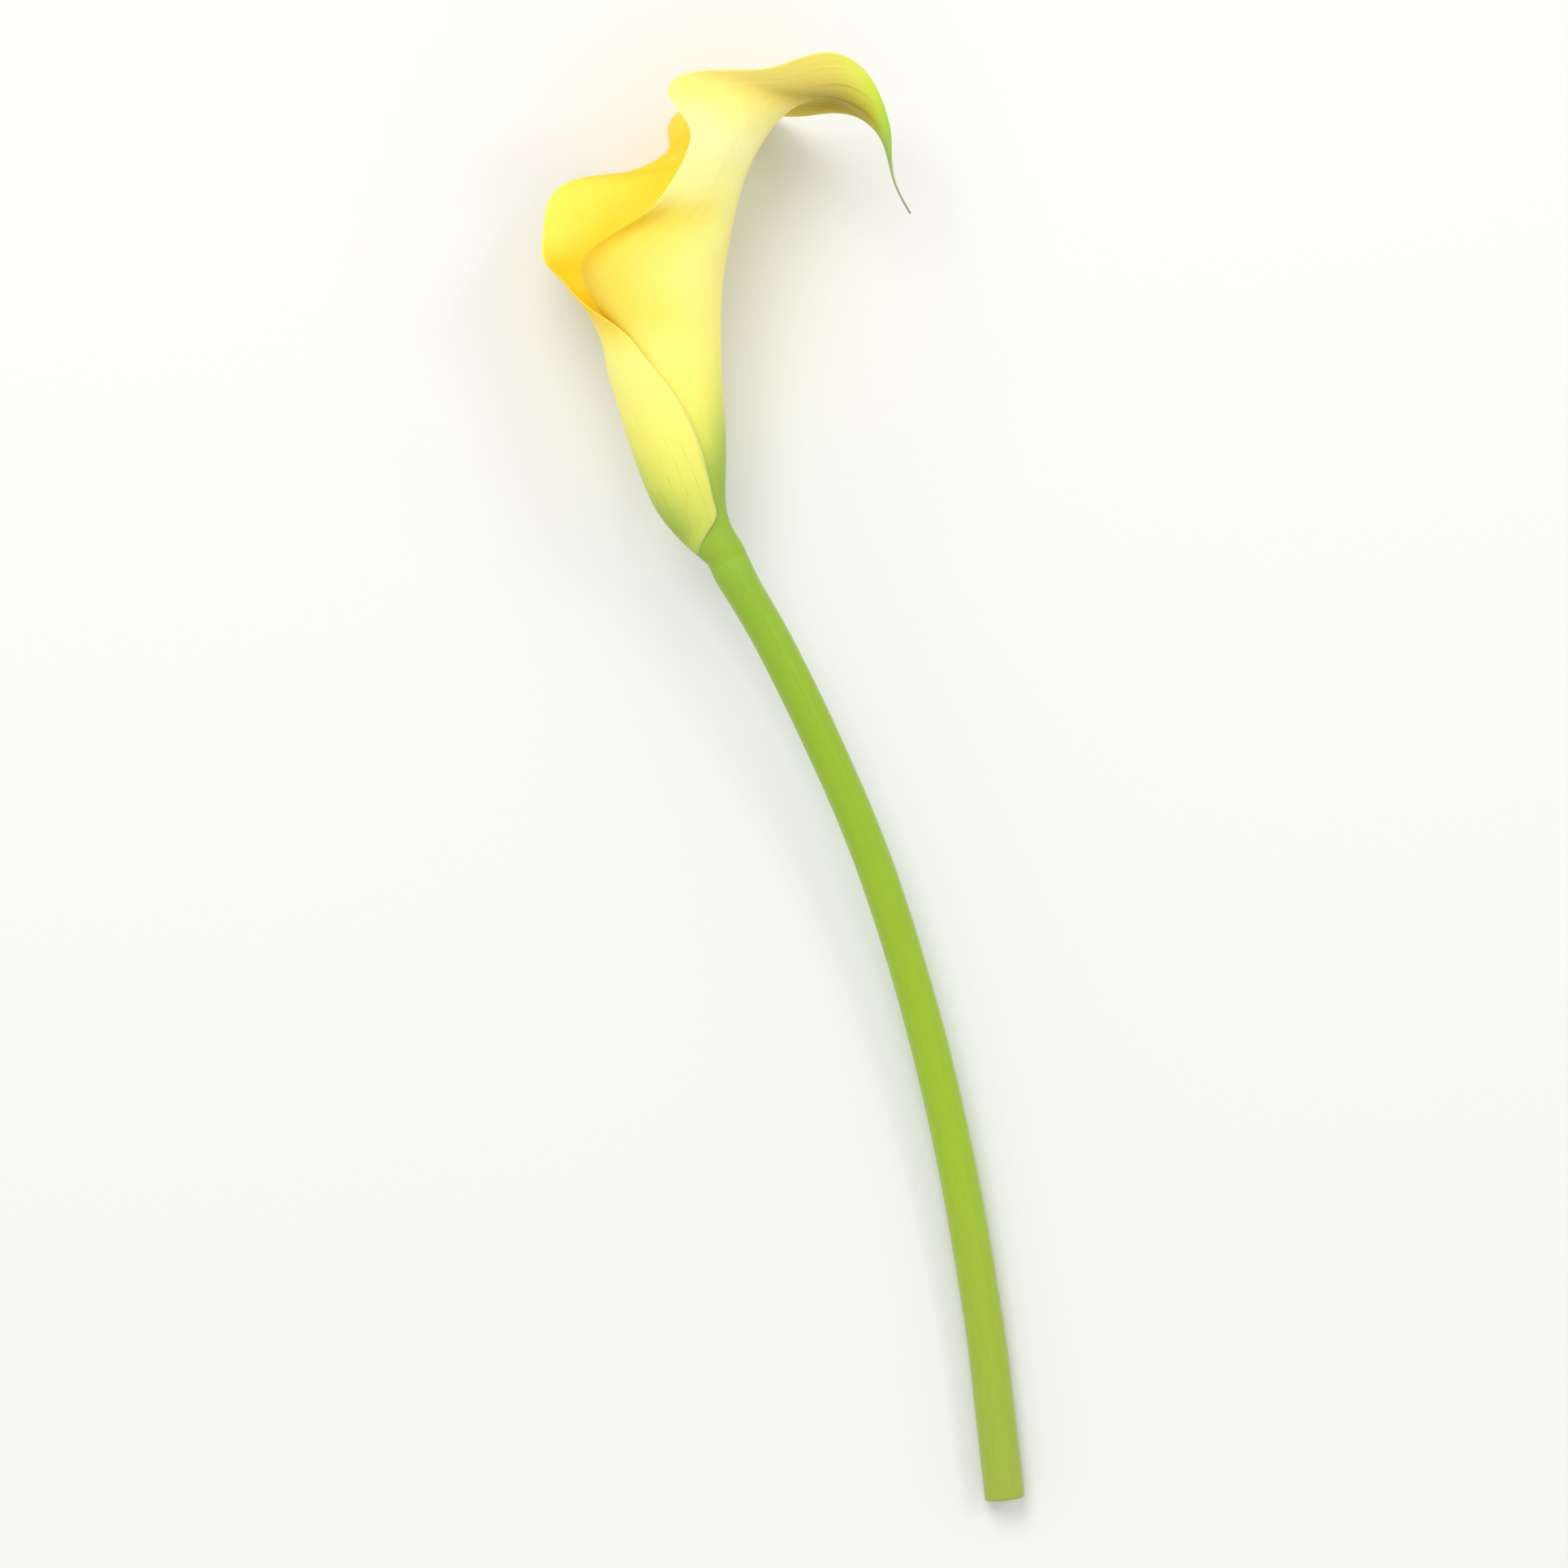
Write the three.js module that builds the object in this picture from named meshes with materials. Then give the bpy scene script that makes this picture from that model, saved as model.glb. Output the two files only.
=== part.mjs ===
// A picked arum lily flower, lying on its back: one rolled spathe, the spadix inside it and a cut stem.
// Millimetres, +Z up. The flower is drawn in its own plane first (x to the right, y towards the bloom,
// z towards whoever looks down on it, origin where stem and spathe meet) and is then set on the surface.
import * as THREE from "three";

// ---------- driving dimensions ----------
const SHEET = 0.9; // thickness of the spathe
const SHEET_TIP = 0.65; // and at the tip of its tail
const OVERLAP_STEP = 1.35; // how far the outer flap stands outside the edge it covers
const SURFACE_Z = -21.9; // the surface the flower lies on
const PRESSED = 0.15; // how deep the lowest spots are pressed flat by it
const SAG = 0.8; // how softly the rim bends where it comes down on it

const STEM_TOP_RADIUS = 3.15;
const STEM_CUT_RADIUS = 3.4;
const STEM_COLLAR_RADIUS = 3.5; // the stem widens here to carry the spathe
const STEM_COLLAR_LENGTH = 9;
const STEM_SIDES = 20;
const STEM_STEPS = 44;
const BOSS_HEIGHT = 1.4; // the stem's tip, inside the foot of the spathe
const BOSS_RADIUS = 2.1;

const SPADIX_LENGTH = 40;
const SPADIX_RADIUS = 2.9;
const SPADIX_FOOT_RADIUS = 1.5;
const FLORET_RELIEF = 0.34; // how far the florets stand out
const FLORETS_AROUND = 9;
const FLORET_ROWS = 21;
const FLORET_CELLS = 4; // facets across one floret

const NEAR_COLUMNS = 14; // sheet columns from the midrib to the covered edge
const FAR_COLUMNS = 24; // sheet columns from the midrib to the outer edge
const SHEET_ROWS = 52;

// The stem's centre line, from the spathe down to the cut.
const STEM_LINE = [
  [0.85, -1.24, -3.1],
  [2.12, -3.96, -3.12],
  [8.2, -14.5, -5.2],
  [16.3, -30.8, -7.8],
  [25, -51, -10.9],
  [33, -76, -14.1],
  [39.5, -103, -16.8],
  [44.5, -132, -18.3],
  [46.2, -146, -18.65],
  [47.8, -160, -18.65],
];

// The spadix's centre line, from the stem's tip to its own tip.
const SPADIX_LINE = [
  [0.09, 0.39, -3.12],
  [-1.3, 2.8, -3.08],
  [-2.9, 5.4, -2.9],
  [-4.4, 8.8, -2.6],
  [-6, 15, -2.1],
  [-8, 26, -1.4],
  [-9.8, 41, -0.5],
];

// Rows across the spathe, from its foot to the tip of its tail. Each row is an arc round the flower's
// axis through a point of the midrib. lean tilts the axis to the left, in degrees. In the tube the two
// edges are given as angles round that axis; in the mouth and the tail, as points.
const ROWS = [
  { mid: [3.4, 0.5, -3.1], lean: 25, radius: 3.05, nearAngle: 164, farAngle: 178 },
  { mid: [1.7, 3, -3.0], lean: 23, radius: 3.4, nearAngle: 156, farAngle: 232 },
  { mid: [0.65, 5.6, -2.85], lean: 20, radius: 3.95, nearAngle: 150, farAngle: 290 },
  { mid: [0.2, 8.6, -2.6], lean: 17, radius: 4.75, nearAngle: 150, farAngle: 302 },
  { mid: [0.2, 12.5, -2.3], lean: 14, radius: 5.75, nearAngle: 150, farAngle: 298 },
  { mid: [0.3, 18.5, -1.9], lean: 11, radius: 6.95, nearAngle: 150, farAngle: 290 },
  { mid: [-0.2, 26, -1.4], lean: 9.5, radius: 7.9, nearAngle: 150, farAngle: 275 },
  { mid: [-0.6, 34, -0.9], lean: 9.5, radius: 8.8, nearAngle: 152, farAngle: 249 },
  { mid: [-0.5, 41, -0.4], lean: 9, radius: 9.9, nearAngle: 156, farAngle: 218 },
  { mid: [-0.1, 46, -0.2], lean: 7, radius: 11.3, near: [-23.2, 45.3, 5], far: [-25.7, 44.8, 0.8] },
  { mid: [0.6, 50, 0], lean: 4, radius: 12.4, near: [-21.9, 49.3, 9.6], far: [-28.7, 47.9, -1.5] },
  { mid: [1.3, 54, 0], lean: 0, radius: 12.8, near: [-16.9, 52.5, 14.2], far: [-29.8, 53, -6.5] },
  { mid: [2.4, 58.5, 0], lean: -6, radius: 12.7, near: [-11.2, 56.2, 17], far: [-28.8, 60.1, -13] },
  { mid: [4, 63.5, -0.2], lean: -15, radius: 12.1, near: [-6.6, 62.8, 17.8], far: [-22.5, 63.8, -19.5] },
  { mid: [6.8, 68.8, -0.5], lean: -28, radius: 11.2, near: [-5.4, 69.6, 16.8], far: [-14.2, 65.4, -23.4] },
  { mid: [10.2, 73, -0.9], lean: -45, radius: 10.2, near: [-8.8, 75, 15.4], far: [-9, 69.2, -24] },
  { mid: [14.2, 75.4, -1.4], lean: -68, radius: 9, near: [-4.4, 78.6, 14], far: [-7.5, 74.9, -23.4] },
  { mid: [18.6, 75.5, -1.9], lean: -90, radius: 7.5, near: [8.2, 79.5, 11.4], far: [6.8, 74.9, -22] },
  { mid: [22.3, 73.7, -2.1], lean: -113, radius: 5.6, near: [18.2, 82.3, 7.6], far: [16.8, 73.8, -10.6] },
  { mid: [25.8, 70.5, -2.1], lean: -134, radius: 4.2, near: [25.2, 77.9, 3.2], far: [23.4, 72.4, -5.2] },
  { mid: [27.7, 66.1, -1.9], lean: -154, radius: 2.8, near: [28.2, 69.8, 0.4], far: [27.3, 68.1, -3.8] },
  { mid: [28.9, 61.4, -1.6], lean: -158, radius: 2, near: [29.6, 61.9, -0.3], far: [29.3, 61.8, -2.9] },
  { mid: [31.5, 56.2, -0.8], lean: -152, radius: 1.8, near: [31.7, 56.3, 0.1], far: [31.7, 56.3, -1.7] },
];

const radians = THREE.MathUtils.degToRad;

// A curve with no kink in slope or curvature through the given values at the given places.
function smoothThrough(places, values) {
  const n = places.length;
  const bend = new Array(n).fill(0);
  const c = new Array(n).fill(0);
  for (let i = 1; i < n - 1; i++) {
    const before = places[i] - places[i - 1];
    const after = places[i + 1] - places[i];
    const pull = 6 * ((values[i + 1] - values[i]) / after - (values[i] - values[i - 1]) / before);
    const pivot = 2 * (before + after) - before * c[i - 1];
    c[i] = after / pivot;
    bend[i] = (pull - before * bend[i - 1]) / pivot;
  }
  for (let i = n - 2; i > 0; i--) bend[i] -= c[i] * bend[i + 1];
  return (t) => {
    let i = 0;
    while (i < n - 2 && t > places[i + 1]) i++;
    const h = places[i + 1] - places[i];
    const a = (places[i + 1] - t) / h;
    const b = (t - places[i]) / h;
    const curved = ((a ** 3 - a) * bend[i] + (b ** 3 - b) * bend[i + 1]) * (h * h) / 6;
    return a * values[i] + b * values[i + 1] + curved;
  };
}

// The row's own directions: along the axis, from the axis out to the midrib, and towards the viewer.
function rowAxes(lean) {
  const a = radians(lean);
  return {
    along: new THREE.Vector3(-Math.sin(a), Math.cos(a), 0),
    out: new THREE.Vector3(Math.cos(a), Math.sin(a), 0),
    up: new THREE.Vector3(0, 0, 1),
  };
}

// An edge as angle round the axis, distance beyond the arc, and height above the row's plane.
function edgeOf(row, point, angle) {
  if (!point) return [angle, 0, 0];
  const { along, out, up } = rowAxes(row.lean);
  const centre = new THREE.Vector3(...row.mid).addScaledVector(out, -row.radius);
  const from = new THREE.Vector3(...point).sub(centre);
  const across = Math.hypot(from.dot(out), from.dot(up));
  const turned = THREE.MathUtils.radToDeg(Math.atan2(Math.abs(from.dot(up)), from.dot(out)));
  return [turned, across - row.radius, from.dot(along)];
}

// Every measure of a row, as smooth functions of the distance along the midrib.
function spatheMeasures() {
  const places = [0];
  for (let i = 1; i < ROWS.length; i++) {
    const step = new THREE.Vector3(...ROWS[i].mid).distanceTo(new THREE.Vector3(...ROWS[i - 1].mid));
    places.push(places[i - 1] + step);
  }
  const near = ROWS.map((row) => edgeOf(row, row.near, row.nearAngle));
  const far = ROWS.map((row) => edgeOf(row, row.far, row.farAngle));
  const through = (pick) => smoothThrough(places, ROWS.map(pick));
  return {
    length: places[places.length - 1],
    places,
    mid: [0, 1, 2].map((k) => through((row) => row.mid[k])),
    lean: through((row) => row.lean),
    radius: through((row) => row.radius),
    near: [0, 1, 2].map((k) => through((row, i) => near[i][k])),
    far: [0, 1, 2].map((k) => through((row, i) => far[i][k])),
  };
}

const measures = spatheMeasures();

// The middle of the sheet. side runs from -1, the outer edge, over 0, the midrib, to 1, the covered edge.
function sheetPoint(side, place) {
  const { along, out, up } = rowAxes(measures.lean(place));
  const radius = measures.radius(place);
  const edge = side < 0 ? measures.far : measures.near;
  const share = Math.abs(side);
  const turned = radians(edge[0](place)) * share;
  const step = side < 0 ? OVERLAP_STEP * THREE.MathUtils.smoothstep(turned, radians(140), radians(212)) : 0;
  const reach = radius + step + edge[1](place) * share ** 2.6;
  const point = new THREE.Vector3(...measures.mid.map((f) => f(place)));
  point.addScaledVector(out, reach * Math.cos(turned) - radius);
  point.addScaledVector(up, reach * Math.sin(turned) * Math.sign(side));
  point.addScaledVector(along, edge[2](place) * share ** 2);
  const height = point.z - (SURFACE_Z + SHEET / 2 - PRESSED);
  point.z += (Math.hypot(height, SAG) - height) / 2;
  return point;
}

// Rows bunch up a little where the spathe is small: at its foot and at the tip.
function placeOfRow(i) {
  const last = ROWS.length - 1;
  const at = (i / SHEET_ROWS) * last;
  const k = Math.min(Math.floor(at), last - 1);
  const bunched = THREE.MathUtils.lerp(measures.places[k], measures.places[k + 1], at - k);
  return THREE.MathUtils.lerp(bunched, (i / SHEET_ROWS) * measures.length, 0.3);
}

// A closed sheet from a grid of points, with the same triangles on both faces.
function sheetGeometry(grid, thicknessOfRow) {
  const rows = grid.length;
  const columns = grid[0].length;
  const normals = grid.map((row, i) =>
    row.map((_, j) => {
      const du = grid[i][Math.min(j + 1, columns - 1)].clone().sub(grid[i][Math.max(j - 1, 0)]);
      const dv = grid[Math.min(i + 1, rows - 1)][j].clone().sub(grid[Math.max(i - 1, 0)][j]);
      return du.cross(dv).normalize();
    }),
  );
  const positions = [];
  for (const sign of [1, -1]) {
    grid.forEach((row, i) =>
      row.forEach((p, j) => {
        const q = p.clone().addScaledVector(normals[i][j], (sign * thicknessOfRow[i]) / 2);
        positions.push(q.x, q.y, q.z);
      }),
    );
  }
  const at = (face, i, j) => face * rows * columns + i * columns + j;
  const triangles = [];
  const quad = (a, b, c, d) => triangles.push(a, b, c, a, c, d);
  for (let i = 0; i < rows - 1; i++) {
    for (let j = 0; j < columns - 1; j++) {
      // each cell is split along its shorter diagonal, on both faces alike
      const rising = grid[i][j].distanceTo(grid[i + 1][j + 1]) < grid[i + 1][j].distanceTo(grid[i][j + 1]);
      const corners = [[i, j], [i, j + 1], [i + 1, j + 1], [i + 1, j]];
      if (!rising) corners.push(corners.shift());
      quad(...corners.map(([a, b]) => at(0, a, b)));
      const [p, q, r, t] = corners.map(([a, b]) => at(1, a, b));
      triangles.push(p, r, q, p, t, r);
    }
  }
  for (let i = 0; i < rows - 1; i++) {
    quad(at(0, i, 0), at(0, i + 1, 0), at(1, i + 1, 0), at(1, i, 0));
    const j = columns - 1;
    quad(at(0, i, j), at(1, i, j), at(1, i + 1, j), at(0, i + 1, j));
  }
  for (let j = 0; j < columns - 1; j++) {
    quad(at(0, 0, j), at(1, 0, j), at(1, 0, j + 1), at(0, 0, j + 1));
    const i = rows - 1;
    quad(at(0, i, j), at(0, i, j + 1), at(1, i, j + 1), at(1, i, j));
  }
  const geometry = new THREE.BufferGeometry();
  geometry.setAttribute("position", new THREE.Float32BufferAttribute(positions, 3));
  geometry.setIndex(triangles);
  return geometry;
}

function spatheGeometry() {
  const sides = [];
  for (let j = FAR_COLUMNS; j > 0; j--) sides.push(-j / FAR_COLUMNS);
  for (let j = 0; j <= NEAR_COLUMNS; j++) sides.push(j / NEAR_COLUMNS);
  const places = Array.from({ length: SHEET_ROWS + 1 }, (_, i) => placeOfRow(i));
  const thin = (place) => THREE.MathUtils.smoothstep(place, 0.7 * measures.length, measures.length);
  return sheetGeometry(
    places.map((place) => sides.map((side) => sheetPoint(side, place))),
    places.map((place) => THREE.MathUtils.lerp(SHEET, SHEET_TIP, thin(place))),
  );
}

// Bends a shape that was turned round the y axis so that the axis follows a curve of that length.
function bendAlong(geometry, line) {
  const curve = new THREE.CatmullRomCurve3(line.map((p) => new THREE.Vector3(...p)));
  const length = curve.getLength();
  const position = geometry.getAttribute("position");
  const q = new THREE.Vector3();
  for (let i = 0; i < position.count; i++) {
    q.fromBufferAttribute(position, i);
    const t = THREE.MathUtils.clamp(q.y / length, 0, 1);
    const ahead = curve.getTangentAt(t);
    const across = ahead.clone().cross(new THREE.Vector3(0, 0, 1)).normalize();
    const over = across.clone().cross(ahead);
    const beyond = q.y - t * length;
    const p = curve.getPointAt(t).addScaledVector(across, q.x).addScaledVector(over, q.z);
    p.addScaledVector(ahead, beyond);
    position.setXYZ(i, p.x, p.y, p.z);
  }
  return geometry;
}

function stemGeometry() {
  const line = [...STEM_LINE].reverse();
  const length = new THREE.CatmullRomCurve3(line.map((p) => new THREE.Vector3(...p))).getLength();
  const profile = [new THREE.Vector2(0, 0)];
  for (let i = 0; i <= STEM_STEPS; i++) {
    const y = (length * i) / STEM_STEPS;
    const slim = THREE.MathUtils.lerp(STEM_CUT_RADIUS, STEM_TOP_RADIUS, Math.min(1, y / 90));
    const collar = THREE.MathUtils.smoothstep(y, length - STEM_COLLAR_LENGTH, length);
    profile.push(new THREE.Vector2(THREE.MathUtils.lerp(slim, STEM_COLLAR_RADIUS, collar), y));
  }
  profile.push(new THREE.Vector2(BOSS_RADIUS, length));
  profile.push(new THREE.Vector2(BOSS_RADIUS * 0.86, length + BOSS_HEIGHT));
  profile.push(new THREE.Vector2(0, length + BOSS_HEIGHT));
  return bendAlong(new THREE.LatheGeometry(profile, STEM_SIDES), line);
}

// The spadix's girth at a height, with its florets as rounded bumps in staggered rows.
function spadixRadius(angle, share) {
  const foot = THREE.MathUtils.smoothstep(share, 0, 0.3);
  const body = THREE.MathUtils.lerp(SPADIX_FOOT_RADIUS, SPADIX_RADIUS, foot);
  const tip = Math.sqrt(Math.max(0, 1 - Math.max(0, (share - 0.8) / 0.2) ** 2.4));
  const taper = body * (1 - 0.12 * share) * tip;
  const row = share * FLORET_ROWS * Math.PI;
  const turn = (angle * FLORETS_AROUND) / 2;
  const bump = Math.abs(Math.sin(row) * Math.sin(turn)) + Math.abs(Math.cos(row) * Math.cos(turn));
  return taper + FLORET_RELIEF * (bump - 0.7) * foot * tip;
}

function spadixGeometry() {
  const steps = FLORET_ROWS * FLORET_CELLS;
  const sides = FLORETS_AROUND * FLORET_CELLS;
  const profile = [new THREE.Vector2(0, 0)];
  for (let i = 0; i < steps; i++) profile.push(new THREE.Vector2(1, (SPADIX_LENGTH * i) / steps));
  profile.push(new THREE.Vector2(0, SPADIX_LENGTH));
  const geometry = new THREE.LatheGeometry(profile, sides);
  const position = geometry.getAttribute("position");
  for (let i = 0; i < position.count; i++) {
    const x = position.getX(i);
    const z = position.getZ(i);
    const radius = Math.hypot(x, z) > 0.5 ? spadixRadius(Math.atan2(x, z), position.getY(i) / SPADIX_LENGTH) : 0;
    position.setXYZ(i, x * radius, position.getY(i), z * radius);
  }
  return bendAlong(geometry, SPADIX_LINE);
}

function piece(name, geometry, color, roughness) {
  const material = new THREE.MeshStandardMaterial({ color, roughness, metalness: 0 });
  const mesh = new THREE.Mesh(geometry, material);
  mesh.name = name;
  return mesh;
}

// The pieces are lowered onto the surface, pressed flat where they touch it, and centred over it.
function setDown(meshes) {
  const box = new THREE.Box3();
  const group = new THREE.Group();
  for (const mesh of meshes) {
    const position = mesh.geometry.getAttribute("position");
    for (let i = 0; i < position.count; i++) {
      if (position.getZ(i) < SURFACE_Z + PRESSED) position.setZ(i, SURFACE_Z);
    }
    mesh.geometry.computeBoundingBox();
    box.union(mesh.geometry.boundingBox);
    group.add(mesh);
  }
  const middle = box.getCenter(new THREE.Vector3());
  group.position.set(-middle.x, -middle.y, -SURFACE_Z);
  return group;
}

const flower = setDown([
  piece("stem", stemGeometry(), 0x8fbf2a, 0.45),
  piece("spathe", spatheGeometry(), 0xfde94a, 0.5),
  piece("spadix", spadixGeometry(), 0xf2b81c, 0.75),
]);

export default flower;
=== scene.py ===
"""A picked arum lily flower, lying on its back: one rolled spathe, the spadix inside it and a cut stem.

The flower is drawn in its own plane, in millimetres: x to the right, y towards the bloom, z towards
whoever looks down on it, with the origin where stem and spathe meet. A shift found from the frame then
sets it on the surface, and the meshes are made in metres.
"""

import math
from types import SimpleNamespace

import bpy
import numpy as np
from bpy.props import FloatProperty, FloatVectorProperty, IntProperty, PointerProperty
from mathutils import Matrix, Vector


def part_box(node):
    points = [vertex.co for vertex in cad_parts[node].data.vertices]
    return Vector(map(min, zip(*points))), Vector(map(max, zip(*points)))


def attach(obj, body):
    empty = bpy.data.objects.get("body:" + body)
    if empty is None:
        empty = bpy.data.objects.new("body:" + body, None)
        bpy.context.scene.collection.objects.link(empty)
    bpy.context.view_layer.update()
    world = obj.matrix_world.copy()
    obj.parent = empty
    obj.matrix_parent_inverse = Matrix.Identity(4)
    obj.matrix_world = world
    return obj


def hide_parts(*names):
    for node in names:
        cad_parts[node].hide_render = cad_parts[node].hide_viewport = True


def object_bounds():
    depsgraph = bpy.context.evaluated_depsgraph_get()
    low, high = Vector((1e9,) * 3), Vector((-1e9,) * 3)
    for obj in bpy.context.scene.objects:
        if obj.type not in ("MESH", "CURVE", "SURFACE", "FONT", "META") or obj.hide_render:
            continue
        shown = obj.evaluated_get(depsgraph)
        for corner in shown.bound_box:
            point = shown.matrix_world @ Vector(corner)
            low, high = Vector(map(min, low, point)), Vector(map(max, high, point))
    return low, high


bl_info = {
    "name": "Arum lily flower",
    "version": (1, 0, 0),
    "blender": (4, 5, 0),
    "location": "3D View > Sidebar > Arum lily",
    "description": "Makes a cut arum lily flower with its spathe, spadix and stem",
    "category": "Add Mesh",
}

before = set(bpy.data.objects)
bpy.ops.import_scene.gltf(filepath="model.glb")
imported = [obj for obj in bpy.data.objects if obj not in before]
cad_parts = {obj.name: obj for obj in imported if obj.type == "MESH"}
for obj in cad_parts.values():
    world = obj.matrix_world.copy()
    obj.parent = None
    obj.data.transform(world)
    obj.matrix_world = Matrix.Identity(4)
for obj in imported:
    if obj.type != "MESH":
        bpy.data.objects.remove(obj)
CAD_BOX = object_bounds()

MM = 0.001

# ---------- shapes shared with the part's source, in millimetres ----------
SURFACE_Z = -21.9  # the surface the flower lies on
PRESSED = 0.15  # how deep the lowest spots are pressed flat by it
SAG = 0.8  # how softly the rim bends where it comes down on it
SHEET = 0.9  # thickness of the spathe in the source
SHEET_TIP = 0.65  # and at the tip of its tail
OVERLAP_STEP = 1.35  # how far the outer flap stands outside the edge it covers
OVERLAP_TURNS = (140, 212)  # and between which angles round the axis it steps out
CAD_ROWS, CAD_FAR_COLUMNS, CAD_NEAR_COLUMNS = 52, 24, 14

STEM_TOP_RADIUS = 3.15
STEM_CUT_RADIUS = 3.4
STEM_COLLAR_LENGTH = 9.0
STEM_STRAIGHTENS = 90.0  # the stem tapers over this length, from the cut

SPADIX_LENGTH = 40.0
SPADIX_RADIUS = 2.9
SPADIX_FOOT_RADIUS = 1.5

# The stem's centre line, from the spathe down to the cut.
STEM_LINE = [
    (0.85, -1.24, -3.1),
    (2.12, -3.96, -3.12),
    (8.2, -14.5, -5.2),
    (16.3, -30.8, -7.8),
    (25, -51, -10.9),
    (33, -76, -14.1),
    (39.5, -103, -16.8),
    (44.5, -132, -18.3),
    (46.2, -146, -18.65),
    (47.8, -160, -18.65),
]

# The spadix's centre line, from the stem's tip to its own tip.
SPADIX_LINE = [
    (0.09, 0.39, -3.12),
    (-1.3, 2.8, -3.08),
    (-2.9, 5.4, -2.9),
    (-4.4, 8.8, -2.6),
    (-6, 15, -2.1),
    (-8, 26, -1.4),
    (-9.8, 41, -0.5),
]

# Rows across the spathe, from its foot to the tip of its tail: a point of the midrib, the lean of the
# flower's axis to the left, the radius of the arc round it, and the covered (near) and outer (far)
# edges. In the tube the edges are angles round the axis; in the mouth and the tail they are points.
ROWS = [
    ((3.4, 0.5, -3.1), 25, 3.05, 164, 178),
    ((1.7, 3, -3.0), 23, 3.4, 156, 232),
    ((0.65, 5.6, -2.85), 20, 3.95, 150, 290),
    ((0.2, 8.6, -2.6), 17, 4.75, 150, 302),
    ((0.2, 12.5, -2.3), 14, 5.75, 150, 298),
    ((0.3, 18.5, -1.9), 11, 6.95, 150, 290),
    ((-0.2, 26, -1.4), 9.5, 7.9, 150, 275),
    ((-0.6, 34, -0.9), 9.5, 8.8, 152, 249),
    ((-0.5, 41, -0.4), 9, 9.9, 156, 218),
    ((-0.1, 46, -0.2), 7, 11.3, (-23.2, 45.3, 5), (-25.7, 44.8, 0.8)),
    ((0.6, 50, 0), 4, 12.4, (-21.9, 49.3, 9.6), (-28.7, 47.9, -1.5)),
    ((1.3, 54, 0), 0, 12.8, (-16.9, 52.5, 14.2), (-29.8, 53, -6.5)),
    ((2.4, 58.5, 0), -6, 12.7, (-11.2, 56.2, 17), (-28.8, 60.1, -13)),
    ((4, 63.5, -0.2), -15, 12.1, (-6.6, 62.8, 17.8), (-22.5, 63.8, -19.5)),
    ((6.8, 68.8, -0.5), -28, 11.2, (-5.4, 69.6, 16.8), (-14.2, 65.4, -23.4)),
    ((10.2, 73, -0.9), -45, 10.2, (-8.8, 75, 15.4), (-9, 69.2, -24)),
    ((14.2, 75.4, -1.4), -68, 9, (-4.4, 78.6, 14), (-7.5, 74.9, -23.4)),
    ((18.6, 75.5, -1.9), -90, 7.5, (8.2, 79.5, 11.4), (6.8, 74.9, -22)),
    ((22.3, 73.7, -2.1), -113, 5.6, (18.2, 82.3, 7.6), (16.8, 73.8, -10.6)),
    ((25.8, 70.5, -2.1), -134, 4.2, (25.2, 77.9, 3.2), (23.4, 72.4, -5.2)),
    ((27.7, 66.1, -1.9), -154, 2.8, (28.2, 69.8, 0.4), (27.3, 68.1, -3.8)),
    ((28.9, 61.4, -1.6), -158, 2, (29.6, 61.9, -0.3), (29.3, 61.8, -2.9)),
    ((31.5, 56.2, -0.8), -152, 1.8, (31.7, 56.3, 0.1), (31.7, 56.3, -1.7)),
]

# ---------- finer measures that only the dressed flower has, in millimetres ----------
FINE_ROWS = 250
FOOT_ROWS = 12  # rows that reach down over the stem
FINE_COLUMNS = 128
WIDTH_STEPS = 80  # steps that half a row's width is measured in
MARGIN_STEPS = 5  # columns that round each edge of the sheet
WIDEST_MARGIN = 0.45  # those columns take up at most this share of the half width
FOOT_OVERLAP = 1.6  # how far the spathe's foot reaches down over the stem
FOOT_FEATHER = 3.0  # over this length the foot thins out and sinks into the stem
FOOT_SINK = 0.54  # share of the outer half's thickness that is left at the very foot
FLAP_RISE = 3.3  # the flap's lower corner is this much higher than the foot
CORNER_FROM = 0.72  # the corner is rounded off beyond this side of the sheet
CORNER_TOP = 9.0  # and below this place along it
FLAP_EDGE = 0.45  # radius that rounds the corner's lower edge
FLAP_ENDS = (24, 46)  # between these places the flap turns into the rim of the mouth
CORNER_FREE = (0.66, 0.84)  # between these sides it comes clear of the stem
FLAP_HUG = 12.0  # over this length the flap comes off the stem
FLAP_TURN = 7.0  # above its corner the flap reaches this many degrees further round
SEAM_TURN = 44.0  # and so does the covered edge at the very foot
THIN_MARGIN = 0.4  # share of the thickness that is left at the rim of the mouth
FLAP_MARGIN = 0.62  # and at the edge of the flap
MARGIN_WIDTH = 7.0  # the sheet thins out over this width
FOOT_MARGIN_WIDTH = 2.5  # and over this one at its foot
MARGIN_GROWS = (2, 12)  # between these places it goes from one to the other
FOOT_EDGE = 0.95  # share of the thickness that is left at the covered edge, by the foot
FOOT_EDGE_ENDS = (3, 8)  # between these places that edge turns as thin as the rest
MARGIN_BEAD = 0.07  # how much the flap's lower margin is thickened on each face
BEAD_WIDTH = 0.9
TAIL_NARROWS = (11.5, 6.0)  # the tail narrows to a hair between these distances from its tip
TAIL_ROUNDS = (20, 9)  # and its section turns round between these
TAIL_HAIR = 0.25  # share of its width that is left at the very tip
TIP_THICKNESS = 0.36
FLUTES = 17  # shallow lengthwise folds of the sheet
FLUTE_DEPTH = 0.02


def srgb(code):
    """A colour as it shows on a screen, written #rrggbb, turned into the linear one that materials use."""
    shown = [int(code[i : i + 2], 16) / 255 for i in (1, 3, 5)]
    return tuple(c / 12.92 if c <= 0.04045 else ((c + 0.055) / 1.055) ** 2.4 for c in shown)


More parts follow.
